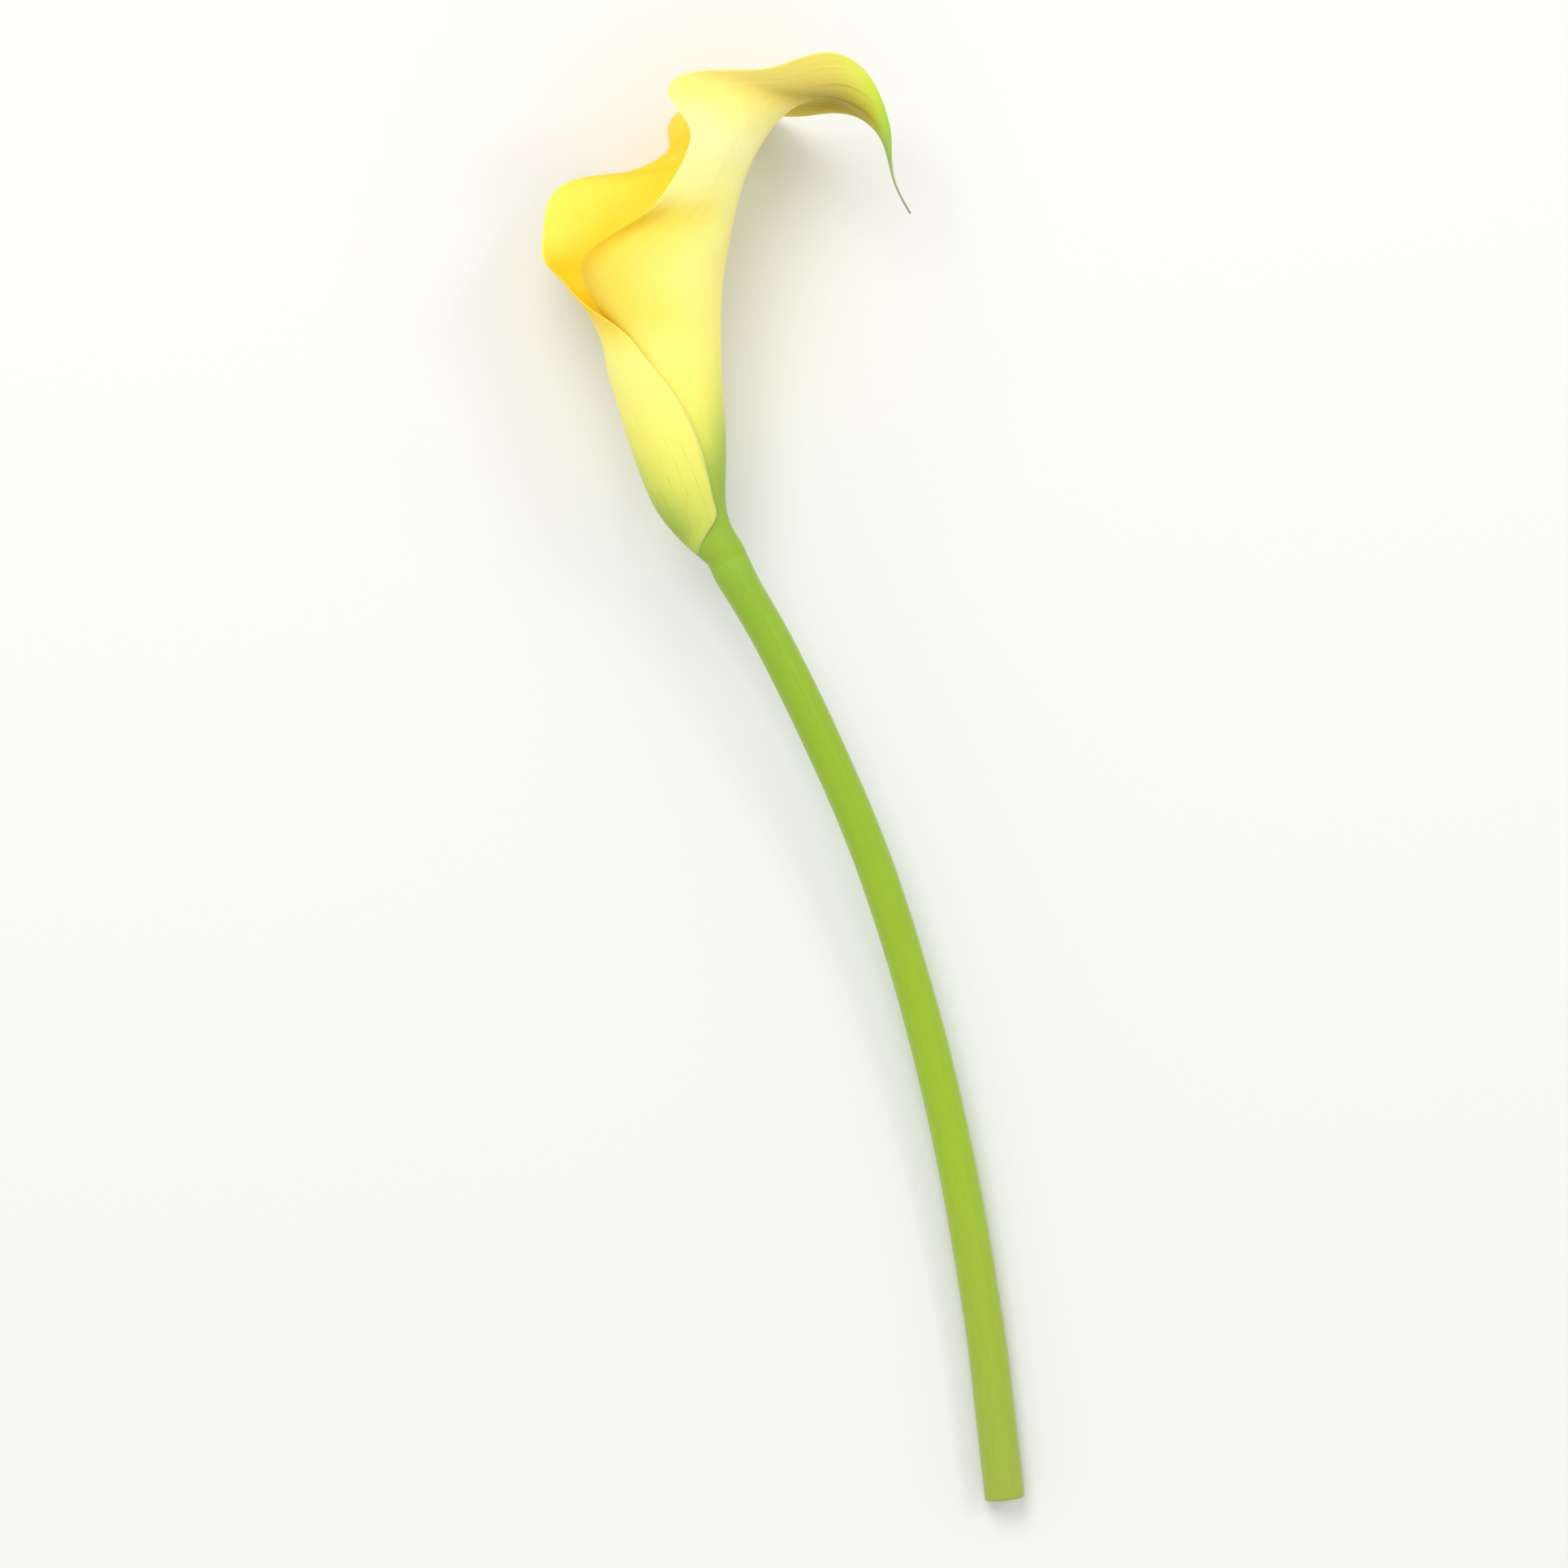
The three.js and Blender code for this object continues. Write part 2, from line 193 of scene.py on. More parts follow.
def rgba(colour):
    """A linear colour, or one written #rrggbb, with its alpha."""
    return (*(srgb(colour) if isinstance(colour, str) else colour), 1)


# ---------- curves ----------
def smooth_through(places, values):
    """A curve with no kink in slope or curvature through the given values at the given places."""
    places = np.asarray(places, float)
    values = np.asarray(values, float)
    gap = np.diff(places)
    last = len(places) - 1
    system = np.eye(last + 1)
    pull = np.zeros(last + 1)
    pull[1:-1] = 6 * np.diff(np.diff(values) / gap)
    for i in range(1, last):
        system[i, i - 1 : i + 2] = gap[i - 1], 2 * (gap[i - 1] + gap[i]), gap[i]
    bend = np.linalg.solve(system, pull)

    def at(t):
        i = np.clip(np.searchsorted(places, t) - 1, 0, last - 1)
        a = (places[i + 1] - t) / gap[i]
        b = (t - places[i]) / gap[i]
        curved = ((a**3 - a) * bend[i] + (b**3 - b) * bend[i + 1]) * gap[i] ** 2 / 6
        return a * values[i] + b * values[i + 1] + curved

    return at


def smoothstep(x, low, high):
    """0 below low, 1 above high, and a soft rise between them."""
    t = np.clip((np.asarray(x, float) - low) / (high - low), 0, 1)
    return t * t * (3 - 2 * t)


def curve_through(points, steps=60):
    """Finely spaced points on a centripetal curve through the given points."""
    given = np.asarray(points, float)
    padded = np.vstack([2 * given[0] - given[1], given, 2 * given[-1] - given[-2]])
    made = []
    for p0, p1, p2, p3 in zip(padded, padded[1:], padded[2:], padded[3:]):
        d0, d1, d2 = (math.sqrt(np.linalg.norm(b - a)) for a, b in ((p0, p1), (p1, p2), (p2, p3)))
        leave = ((p1 - p0) / d0 - (p2 - p0) / (d0 + d1) + (p2 - p1) / d1) * d1
        arrive = ((p2 - p1) / d1 - (p3 - p1) / (d1 + d2) + (p3 - p2) / d2) * d1
        t = np.linspace(0, 1, steps, endpoint=False)[:, None]
        made.append(
            p1 + leave * t + (3 * (p2 - p1) - 2 * leave - arrive) * t**2
            + (2 * (p1 - p2) + leave + arrive) * t**3
        )
    made.append(given[-1:])
    return np.vstack(made)


def evenly_along(line, length, count):
    """count points at even steps along a fine line, over that length from its start."""
    travelled = np.concatenate([[0], np.cumsum(np.linalg.norm(np.diff(line, axis=0), axis=1))])
    wanted = np.linspace(0, length, count)
    return np.stack([np.interp(wanted, travelled, line[:, k]) for k in range(3)], axis=1)


def length_of(line):
    return float(np.linalg.norm(np.diff(line, axis=0), axis=1).sum())


# ---------- the spathe's sheet ----------
def row_axes(lean):
    """The row's own directions: along the axis, and from the axis out to the midrib."""
    a = np.radians(lean)
    nought = np.zeros_like(a)
    along = np.stack([-np.sin(a), np.cos(a), nought], -1)
    out = np.stack([np.cos(a), np.sin(a), nought], -1)
    return along, out


def edge_of(row, edge):
    """An edge as angle round the axis, distance beyond the arc, and height above the row's plane."""
    mid, lean, radius = row[:3]
    if not isinstance(edge, tuple):
        return edge, 0.0, 0.0
    along, out = row_axes(np.float64(lean))
    away = np.array(edge) - (np.array(mid) - out * radius)
    sideways = away @ out
    turned = math.degrees(math.atan2(abs(away[2]), sideways))
    return turned, math.hypot(sideways, away[2]) - radius, away @ along


def spathe_measures():
    """Every measure of a row, as smooth functions of the distance along the midrib."""
    mids = np.array([row[0] for row in ROWS], float)
    places = np.concatenate([[0], np.cumsum(np.linalg.norm(np.diff(mids, axis=0), axis=1))])
    near = np.array([edge_of(row, row[3]) for row in ROWS], float)
    far = np.array([edge_of(row, row[4]) for row in ROWS], float)
    return {
        "length": places[-1],
        "places": places,
        "mid": [smooth_through(places, mids[:, k]) for k in range(3)],
        "lean": smooth_through(places, [row[1] for row in ROWS]),
        "radius": smooth_through(places, [row[2] for row in ROWS]),
        "near": [smooth_through(places, near[:, k]) for k in range(3)],
        "far": [smooth_through(places, far[:, k]) for k in range(3)],
    }


SPATHE = spathe_measures()


def sheet_points(sides, places, taper=1.0, hug=0.0):
    """The middle of the sheet. A side of -1 is the outer edge, 0 the midrib and 1 the covered edge.

    sides and places are arrays of one shape, and the points come back in that shape. taper narrows the
    sheet, and hug lays the foot of the flap against the stem.
    """
    sides, asked = np.broadcast_arrays(sides, places)
    places = np.maximum(asked, 0)  # below its foot the sheet follows the stem
    along, out = row_axes(SPATHE["lean"](places))
    radius = SPATHE["radius"](places)
    outer = sides < 0
    share = np.abs(sides)
    edge = [np.where(outer, SPATHE["far"][k](places), SPATHE["near"][k](places)) for k in range(3)]
    flap = FLAP_TURN * (smoothstep(places, 2, 4) - smoothstep(places, 5, 9))
    further = np.where(outer, flap, SEAM_TURN * (1 - smoothstep(places, 1, 5)))
    turned = np.radians(edge[0] + hug * further) * share * taper
    off = OVERLAP_STEP * (1 - hug * (1 - smoothstep(places, -2, FLAP_HUG)))
    step = np.where(outer, off * smoothstep(turned, *map(math.radians, OVERLAP_TURNS)), 0)
    reach = radius + step + edge[1] * share**2.6 * taper
    points = np.stack([SPATHE["mid"][k](places) for k in range(3)], -1)
    points = points + out * (reach * np.cos(turned) - radius)[..., None]
    points = points + along * (edge[2] * share**2 * taper + asked - places)[..., None]
    points[..., 2] += reach * np.sin(turned) * np.sign(sides)
    height = points[..., 2] - (SURFACE_Z + SHEET / 2 - PRESSED)
    points[..., 2] += (np.hypot(height, SAG) - height) / 2
    return points


def spaced_places(count, start=0.0):
    """Places of the sheet's rows. They bunch up a little where the spathe is small."""
    share = np.linspace(start, 1, count + 1)
    bunched = np.interp(share * (len(ROWS) - 1), np.arange(len(ROWS)), SPATHE["places"])
    return bunched * 0.7 + share * SPATHE["length"] * 0.3


def sheet_normals(grid):
    """Directions square to a grid of points. They point to the inside of the flower."""
    across = np.gradient(grid, axis=1)
    ahead = np.gradient(grid, axis=0)
    square = np.cross(across, ahead)
    return square / np.maximum(np.linalg.norm(square, axis=-1, keepdims=True), 1e-12)


def cad_sheet_corner():
    """The lowest corner of the source's own, coarser spathe, before it is set on the surface."""
    far = -np.arange(CAD_FAR_COLUMNS, 0, -1) / CAD_FAR_COLUMNS
    near = np.arange(CAD_NEAR_COLUMNS + 1) / CAD_NEAR_COLUMNS
    places = spaced_places(CAD_ROWS)
    grid = sheet_points(np.concatenate([far, near])[None, :], places[:, None])
    thin = smoothstep(places, 0.7 * SPATHE["length"], SPATHE["length"])
    half = (SHEET + (SHEET_TIP - SHEET) * thin)[:, None, None] / 2
    normals = sheet_normals(grid)
    both = np.concatenate([grid + normals * half, grid - normals * half])
    return both.reshape(-1, 3).min(0)


def flower_shift():
    """From the flower's own plane to the frame, in millimetres."""
    corner = np.array(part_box("spathe")[0]) / MM
    shift = corner - cad_sheet_corner()
    shift[2] = -SURFACE_Z
    return shift


SHIFT = flower_shift()


def in_frame(points):
    """Millimetres in the flower's own plane, turned into metres in the frame, above the surface."""
    placed = (np.asarray(points, float) + SHIFT) * MM
    placed[..., 2] = np.maximum(placed[..., 2], 0)
    return placed


# ---------- meshes ----------
def new_piece(name, points, faces, layers=None):
    """A smooth mesh object with its place in its mesh, and a number on each point for each layer."""
    mesh = bpy.data.meshes.new(name)
    mesh.from_pydata(points.tolist(), [], faces)
    for label, values in (layers or {}).items():
        layer = mesh.attributes.new(label, "FLOAT", "POINT")
        layer.data.foreach_set("value", np.asarray(values, np.float32))
    mesh.polygons.foreach_set("use_smooth", np.ones(len(mesh.polygons), bool))
    mesh.update()
    piece = bpy.data.objects.new(name, mesh)
    bpy.context.scene.collection.objects.link(piece)
    return piece


def path_object(name, points, radii):
    """A curve object through the points, in metres, with a radius at each."""
    data = bpy.data.curves.new(name, "CURVE")
    data.dimensions = "3D"
    spline = data.splines.new("POLY")
    spline.points.add(len(points) - 1)
    spline.points.foreach_set("co", np.column_stack([points, np.ones(len(points))]).ravel())
    spline.points.foreach_set("radius", np.asarray(radii, float))
    path = bpy.data.objects.new(name, data)
    bpy.context.scene.collection.objects.link(path)
    return path


def keep_shape(name, base, tree, inputs):
    """Runs a geometry tree on an object and keeps what it makes as a plain mesh object."""
    modifier = base.modifiers.new("Shape", "NODES")
    modifier.node_group = tree
    for socket in tree.interface.items_tree:
        if socket.item_type == "SOCKET" and socket.in_out == "INPUT" and socket.name in inputs:
            modifier[socket.identifier] = inputs[socket.name]
    shown = base.evaluated_get(bpy.context.evaluated_depsgraph_get())
    mesh = bpy.data.meshes.new_from_object(shown)
    base.modifiers.remove(modifier)
    bpy.data.objects.remove(base)
    if not mesh.polygons:
        raise RuntimeError(f"the tree {tree.name} made nothing for {name}")
    mesh.name = name
    piece = bpy.data.objects.new(name, mesh)
    bpy.context.scene.collection.objects.link(piece)
    return piece


def dress(piece, node, material=None):
    """Hangs a finished piece on the frame in place of a node of the source."""
    if material is not None:
        piece.data.materials.clear()
        piece.data.materials.append(material)
    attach(piece, "root")
    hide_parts(node)


# ---------- node trees ----------
class Wiring:
    """Short ways to add nodes to one tree."""

    def __init__(self, tree):
        self.tree = tree

    def feed(self, socket, value):
        if isinstance(value, bpy.types.NodeSocket):
            self.tree.links.new(value, socket)
        elif value is not None:
            socket.default_value = value

    def node(self, kind, inputs=None, **settings):
        made = self.tree.nodes.new(kind)
        for name, value in settings.items():
            setattr(made, name, value)
        for key, value in (inputs or {}).items():
            self.feed(made.inputs[key], value)
        return made

    def sum(self, operation, a, b=None, c=None):
        """One step of arithmetic."""
        given = {i: v for i, v in enumerate((a, b, c)) if v is not None}
        return self.node("ShaderNodeMath", given, operation=operation).outputs[0]

    def times(self, a, *more):
        """The product of all the values."""
        for b in more:
            a = self.sum("MULTIPLY", a, b)
        return a

    def plus(self, a, *more):
        """The sum of all the values."""
        for b in more:
            a = self.sum("ADD", a, b)
        return a

    def vector_sum(self, operation, a, b=None):
        made = self.node("ShaderNodeVectorMath", {0: a}, operation=operation)
        if b is not None:
            self.feed(made.inputs["Scale" if operation == "SCALE" else 1], b)
        return made.outputs["Value" if operation in ("LENGTH", "DOT_PRODUCT") else "Vector"]

    def band(self, value, low, high, start=0.0, end=1.0):
        """A soft rise from start to end as the value goes from low to high."""
        limits = {"Value": value, "From Min": low, "From Max": high, "To Min": start, "To Max": end}
        made = self.node("ShaderNodeMapRange", limits, interpolation_type="SMOOTHSTEP")
        return made.outputs[0]

    def mix(self, share, a, b, blend="MIX"):
        made = self.node("ShaderNodeMix", data_type="RGBA", blend_type=blend)
        for key, value in (("Factor_Float", share), ("A_Color", a), ("B_Color", b)):
            socket = next(s for s in made.inputs if s.identifier == key)
            self.feed(socket, rgba(value) if isinstance(value, (str, tuple)) else value)
        return next(s for s in made.outputs if s.identifier == "Result_Color")

    def attribute(self, name, output="Fac"):
        return self.node("ShaderNodeAttribute", attribute_name=name).outputs[output]

    def ramp(self, share, stops):
        """A colour ramp. Each stop is a place from 0 to 1 and a colour, linear or written #rrggbb."""
        made = self.node("ShaderNodeValToRGB", {0: share})
        marks = made.color_ramp.elements
        while len(marks) < len(stops):
            marks.new(1)
        for mark, (place, colour) in zip(marks, stops):
            mark.position = place
            mark.color = rgba(colour)
        return made.outputs["Color"]

    def noise(self, vector, scale, detail=2.0, roughness=0.5, output="Fac"):
        fields = {"Vector": vector, "Scale": scale, "Detail": detail, "Roughness": roughness}
        return self.node("ShaderNodeTexNoise", fields).outputs[output]

    def vector(self, x, y, z=0.0):
        return self.node("ShaderNodeCombineXYZ", {0: x, 1: y, 2: z}).outputs[0]

    def store(self, shape, name, value, kind="FLOAT"):
        """Writes a value on every point, for the finish to read."""
        given = {"Geometry": shape, "Name": name, "Value": value}
        made = self.node("GeometryNodeStoreNamedAttribute", given, data_type=kind, domain="POINT")
        return made.outputs[0]

    def join(self, *shapes):
        made = self.node("GeometryNodeJoinGeometry")
        for shape in shapes:
            self.feed(made.inputs[0], shape)
        return made.outputs[0]

    def random(self, low, high, seed):
        made = self.node("FunctionNodeRandomValue", data_type="FLOAT")
        for key, value in (("Min_001", low), ("Max_001", high), ("Seed", seed)):
            self.feed(next(s for s in made.inputs if s.identifier == key), value)
        return next(s for s in made.outputs if s.identifier == "Value_001")


def new_finish(name, **surface):
    """A material with one surface shader, and the wiring of its tree."""
    material = bpy.data.materials.new(name)
    material.use_nodes = True
    wiring = Wiring(material.node_tree)
    material.node_tree.nodes.clear()
    shader = wiring.node("ShaderNodeBsdfPrincipled", surface)
    end = wiring.node("ShaderNodeOutputMaterial")
    wiring.feed(end.inputs["Surface"], shader.outputs[0])
    return material, wiring, shader


def bump(wiring, shader, height, depth, strength=1.0):
    """Fine relief. The height goes from 0 to 1 and stands for that depth in metres."""
    made = wiring.node("ShaderNodeBump", {"Height": height, "Distance": depth, "Strength": strength})
    wiring.feed(shader.inputs["Normal"], made.outputs[0])


def new_geometry_tree(name, inputs):
    """A geometry tree with named inputs, its wiring, and its input and output nodes."""
    tree = bpy.data.node_groups.new(name, "GeometryNodeTree")
    tree.interface.new_socket("Geometry", in_out="INPUT", socket_type="NodeSocketGeometry")
    for label, kind in inputs.items():
        tree.interface.new_socket(label, in_out="INPUT", socket_type=f"NodeSocket{kind}")
    tree.interface.new_socket("Geometry", in_out="OUTPUT", socket_type="NodeSocketGeometry")
    wiring = Wiring(tree)
    return tree, wiring, wiring.node("NodeGroupInput").outputs, wiring.node("NodeGroupOutput").inputs


def end_tree(wiring, shape, material, finish):
    """Every tree ends alike: real geometry, smooth, with its material."""
    real = wiring.node("GeometryNodeRealizeInstances", {0: shape}).outputs[0]
    smooth = wiring.node("GeometryNodeSetShadeSmooth", {0: real}).outputs[0]
    painted = wiring.node("GeometryNodeSetMaterial", {0: smooth, "Material": material}).outputs[0]
    wiring.feed(finish[0], painted)


# ---------- settings ----------
def length_property(name, description, default):
    return FloatProperty(
        name=name, description=description, default=default, min=0, unit="LENGTH", subtype="DISTANCE"
    )


def colour_property(name, description, code):
    return FloatVectorProperty(
        name=name, description=description, default=srgb(code), size=3, min=0, max=1, subtype="COLOR"
    )


class ArumSpatheSettings(bpy.types.PropertyGroup):
    """Sizes and colours of the spathe."""

    thickness: length_property("Thickness", "Thickness of the spathe's sheet", SHEET * MM)
    tip_thickness: length_property("Tip thickness", "Thickness at the end of its tail", TIP_THICKNESS * MM)
    veins: IntProperty(name="Veins", description="Veins side by side across the sheet", default=36, min=1)
    lemon: colour_property("Lemon", "The outer face of the tube", "#fbf284")
    gold: colour_property("Gold", "The inner face, deep in the mouth", "#fdde20")
    green: colour_property("Green", "The foot, where the tube grows from the stem", "#8fb42e")
    # the ochre is partly painted shade, where the tail folds under by its midrib
    ochre: colour_property("Ochre", "The tail by its midrib, where it is darkest", "#ac981c")


class ArumStemSettings(bpy.types.PropertyGroup):
    """Sizes and colours of the stem and its cut."""

    sides: IntProperty(name="Sides", description="Points round the stem", default=96, min=12)
    ribs: IntProperty(name="Ribs", description="Faint ribs round the stem", default=15, min=1)
    rib_depth: FloatProperty(
        name="Rib depth", description="Height of a rib, as a share of the radius", default=0.006, min=0
    )
    bundles: IntProperty(name="Bundles", description="Strands that show in the cut", default=110, min=1)
    green: colour_property("Green", "The skin of the stem", "#91b41c")
    flesh: colour_property("Flesh", "The cut face", "#dfe8b0")


class ArumSpadixSettings(bpy.types.PropertyGroup):
    """Sizes and colours of the spadix."""

    florets: IntProperty(name="Florets", description="Florets on the spadix", default=620, min=1)
    floret: length_property("Floret", "Radius of one floret", 0.5 * MM)
    gold: colour_property("Gold", "The ripe florets", "#f6c01e")
    green: colour_property("Green", "The foot of the spadix", "#c9cf5a")


class ArumStageSettings(bpy.types.PropertyGroup):
    """The floor and the camera."""

    floor: length_property("Floor", "Side of the floor", 4.0)
    shown: length_property("Shown width", "Width of what the camera shows", 0.262)
    pale: colour_property("Floor colour", "The floor under the flower", "#e8e8e6")


# ---------- finishes ----------
def tissue(gloss, weight, radius, scale):
    """How glossy living tissue is, and how much light enters it, in which colours and how far, in mm."""
    return {
        "Specular IOR Level": gloss,
        "Subsurface Weight": weight,
        "Subsurface Radius": radius,
        "Subsurface Scale": scale * MM,
    }


def along_spathe(*stops):
    """Stops for a ramp that runs the length of the spathe, each a place in millimetres and a colour."""
    return [(place / SPATHE["length"], colour) for place, colour in stops]


def outer_colours(w, look, field):
    """The outer face: green at the foot, lemon up the tube, paler on the neck where a highlight is painted,
    and golden by the rim with a painted glow and painted shade.
    """
    # the side away from the mouth stays green longest, and the flap is the least green
    flap = w.times(w.band(field.place, 4.0, 16.0, 12.5, 7.0), w.band(field.side, -0.94, -0.62, 1.0, 0.0))
    lifted = w.plus(w.band(field.away, 0.05, 0.5, -4.0, 3.0), flap)
    lifted = w.times(lifted, w.band(field.place, 32.0, 50.0, 1.0, 0.0))
    cloud = w.noise(w.vector(field.side, w.sum("DIVIDE", field.place, 25.0)), 3.0, 3.0)
    drift = w.times(w.sum("SUBTRACT", cloud, 0.5), 5.0)
    shown = w.plus(field.place, lifted, drift)
    colour = w.ramp(
        w.sum("DIVIDE", shown, SPATHE["length"]),
        along_spathe(
            (0, look.green),
            (9, "#9ab63c"),
            (15, "#b1c54e"),
            (20, "#cfd95f"),
            (25, "#e9e76a"),
            (31, "#f8ef76"),
            (40, look.lemon),
            # from 54 to 73 mm the neck is painted paler: a painted highlight
            (54, "#fdf58c"),
            (62, "#fef79c"),
            (68, "#fffaae"),
            (73, "#fef49a"),
            (78, "#fcea78"),
            (84, "#f4e070"),
        ),
    )
    # the neck is a warmer yellow along the midrib
    midrib = w.band(field.away, 0.02, 0.35, 1.0, 0.0)
    warm = w.times(w.band(field.place, 34.0, 50.0, 0.0, 0.55), midrib)
    colour = w.mix(warm, colour, "#f6e07c")
    mouth = w.times(w.band(field.place, 32.0, 44.0), w.band(field.place, 56.0, 62.0, 1.0, 0.0))
    # a painted glow: within 22 mm of the mouth's rim the outer face is painted golden, like light shining
    # through from the mouth
    glow = w.times(w.band(field.rim, 4.0, 22.0, 0.8, 0.0), mouth)
    colour = w.mix(glow, colour, "#fde03a")
    # painted shade: darker gold just under the rolled rim of the mouth, where the lip shades the outer wall
    deep = w.times(w.band(field.rim, 0.8, 6.0, 0.85, 0.0), mouth, w.band(field.place, 36.0, 50.0, 0.3, 1.0))
    return w.mix(deep, colour, "#f2c41a")


def inner_colours(w, look, field):
    """The inner face: golden, and lemon on the lobe that turns out furthest."""
    colour = w.ramp(
        w.sum("DIVIDE", field.place, SPATHE["length"]),
        along_spathe(
            (0, "#b9c94e"),
            (16, "#e6d63e"),
            (34, "#fad628"),
            (52, look.gold),
            (65, "#fcd21e"),
            (80, "#fad638"),
        ),
    )
    lobe = w.times(
        w.band(field.rim, 1.0, 14.0, 0.9, 0.0),
        w.sum("LESS_THAN", field.side, 0.0),
        w.band(field.place, 49.0, 55.0),
        w.band(field.place, 58.0, 66.0, 1.0, 0.0),
    )
    return w.mix(lobe, colour, "#fdf566")


CREASE_STARTS, CREASE_ENDS = 5, 6  # a crease comes up and fades over these lengths
# Where a crease lies between midrib and covered edge, its half width, its ends in mm and its strength.
TAIL_CREASES = [
    (-0.05, 0.1, 78.0, 95.0, 0.6),
    (0.05, 0.05, 80.0, 94.0, 0.3),
    (0.34, 0.07, 83.0, 96.0, 0.5),
    (0.68, 0.03, 85.0, 95.0, 0.35),
]


def tail_colours(w, look, field):
    """The tail: ochre by the midrib, partly painted shade of its fold, lemon to lime along its covered
    edge, and a grey-green tip.
    """
    share = w.sum("DIVIDE", field.place, SPATHE["length"])
    margin = w.ramp(
        share,
        along_spathe(
            (76, "#fcec84"),
            (82, "#f8e27a"),
            (87, "#efdc6c"),
            (91, "#e2e25c"),
            (94, "#c8de42"),
            (97, "#a8ce34"),
            (99, "#9cc04c"),
            (101.5, "#a6b67c"),
            (104, "#9da384"),
            (109, "#8f9478"),
        ),
    )
    # by the midrib the ochre is partly the tail's own colour and partly painted shade, where the tail folds
    # under
    middle = w.ramp(
        share,
        along_spathe(
            (75, "#f8ea92"),
            (78.5, "#dcc44c"),
            (82, "#c2ae26"),
            (85.5, look.ochre),
            (89, "#baa62a"),
            (92.5, "#c4b83c"),
            (95.5, "#bcca58"),
            (98.5, "#a8c266"),
            (101.5, "#a6b67c"),
            (109, "#8f9478"),
        ),
    )
    near = w.band(field.side, 0.25, 0.95)
    far = w.times(w.band(field.side, -0.85, -0.25, 1.0, 0.0), w.band(field.place, 78.0, 84.0, 0.45, 0.0))
    colour = w.mix(w.sum("MAXIMUM", near, far), middle, margin)
    # away from the midrib the side that hangs down stays as golden as the mouth
    hanging = w.times(w.band(field.side, -0.85, -0.4, 0.8, 0.0), w.band(field.place, 83.0, 93.0, 1.0, 0.0))
    colour = w.mix(hanging, colour, "#f6da3e")
    # dark creases: the first, wide one along the midrib is painted shade where the tail folds under; the
    # others are thin dark lines, one along the midrib and two towards the covered edge
    for at, width, first, last, strength in TAIL_CREASES:
        off = w.sum("ABSOLUTE", w.sum("SUBTRACT", field.side, at))
        starts = w.band(field.place, first, first + CREASE_STARTS)
        ends = w.band(field.place, last - CREASE_ENDS, last, 1.0, 0.0)
        crease = w.times(w.band(off, 0.0, width, strength, 0.0), starts, ends)
        colour = w.mix(crease, colour, "#7d7616")
    return colour


def vein_pattern(w, look, field):
    """Veins that run lengthwise and fan out with the sheet, finer threads between, and their strength."""
    wander = w.noise(w.vector(field.side, w.sum("DIVIDE", field.place, 90.0)), 2.5, 2.0)
    count = w.sum("MULTIPLY_ADD", field.side, look.veins / 2, w.times(wander, 2.2))
    ridge = w.sum("ABSOLUTE", w.sum("SUBTRACT", w.sum("FRACT", count), 0.5))
    line = w.band(ridge, 0.0, 0.11, 1.0, 0.0)
    finer = w.sum("FRACT", w.times(count, 3.0))
    thread = w.band(w.sum("ABSOLUTE", w.sum("SUBTRACT", finer, 0.5)), 0.0, 0.3, 1.0, 0.0)
    low = w.band(field.place, 4.0, 34.0, 0.26, 0.0)
    high = w.times(w.band(field.place, 80.0, 87.0), w.band(field.place, 98.0, 104.0, 1.0, 0.0))
    strength = w.plus(w.sum("MULTIPLY_ADD", high, 0.3, 0.012), low)
    where = w.vector(w.times(field.side, 9.0), w.sum("DIVIDE", field.place, 7.0))
    broken = w.band(w.noise(where, 2.0), 0.3, 0.7)
    return line, thread, w.times(strength, broken)


def petal_finish(look):
    """The spathe: lemon outside, golden inside, green at the foot, with fine veins."""
    waxy = tissue(0.28, 0.22, (1.0, 0.8, 0.3), 0.9)
    material, w, shader = new_finish("petal", Roughness=0.5, **waxy)
    side, place, rim = w.attribute("side"), w.attribute("place"), w.attribute("rim")
    field = SimpleNamespace(side=side, place=place, rim=rim, away=w.sum("ABSOLUTE", side))
    bloom = w.mix(w.attribute("inner"), outer_colours(w, look, field), inner_colours(w, look, field))
    colour = w.mix(w.band(place, 75.0, 81.0), bloom, tail_colours(w, look, field))
    # a paler margin along the lower flap
    low = w.band(place, 20.0, 34.0, 1.0, 0.0)
    edge = w.times(w.band(rim, 0.15, 0.8, 0.7, 0.0), low, w.sum("LESS_THAN", side, 0.0))
    colour = w.mix(edge, colour, "#c8d584")

    line, thread, strength = vein_pattern(w, look, field)
    colour = w.mix(w.times(line, strength), colour, "#8fa136")
    colour = w.mix(w.times(thread, strength, 0.3), colour, "#b3b848")
    # and a little life everywhere
    grain = w.noise(w.vector(w.times(side, 40.0), w.sum("DIVIDE", place, 6.0)), 2.0, 4.0, 0.6)
    colour = w.mix(w.band(grain, 0.3, 0.8, 0.0, 0.1), colour, "#f2e277", "MULTIPLY")
    w.feed(shader.inputs["Base Color"], colour)

    fibre = w.noise(w.vector(w.times(side, 120.0), w.sum("DIVIDE", place, 3.0)), 1.0, 3.0)
    cells = w.noise(w.node("ShaderNodeTexCoord").outputs["Object"], 2600.0, 2.0)
    sunk = w.times(line, w.sum("MULTIPLY_ADD", strength, -1.2, -0.08))
    bump(w, shader, w.plus(sunk, w.times(fibre, 0.3), w.times(cells, 0.2)), 0.05 * MM, 0.6)
    return material


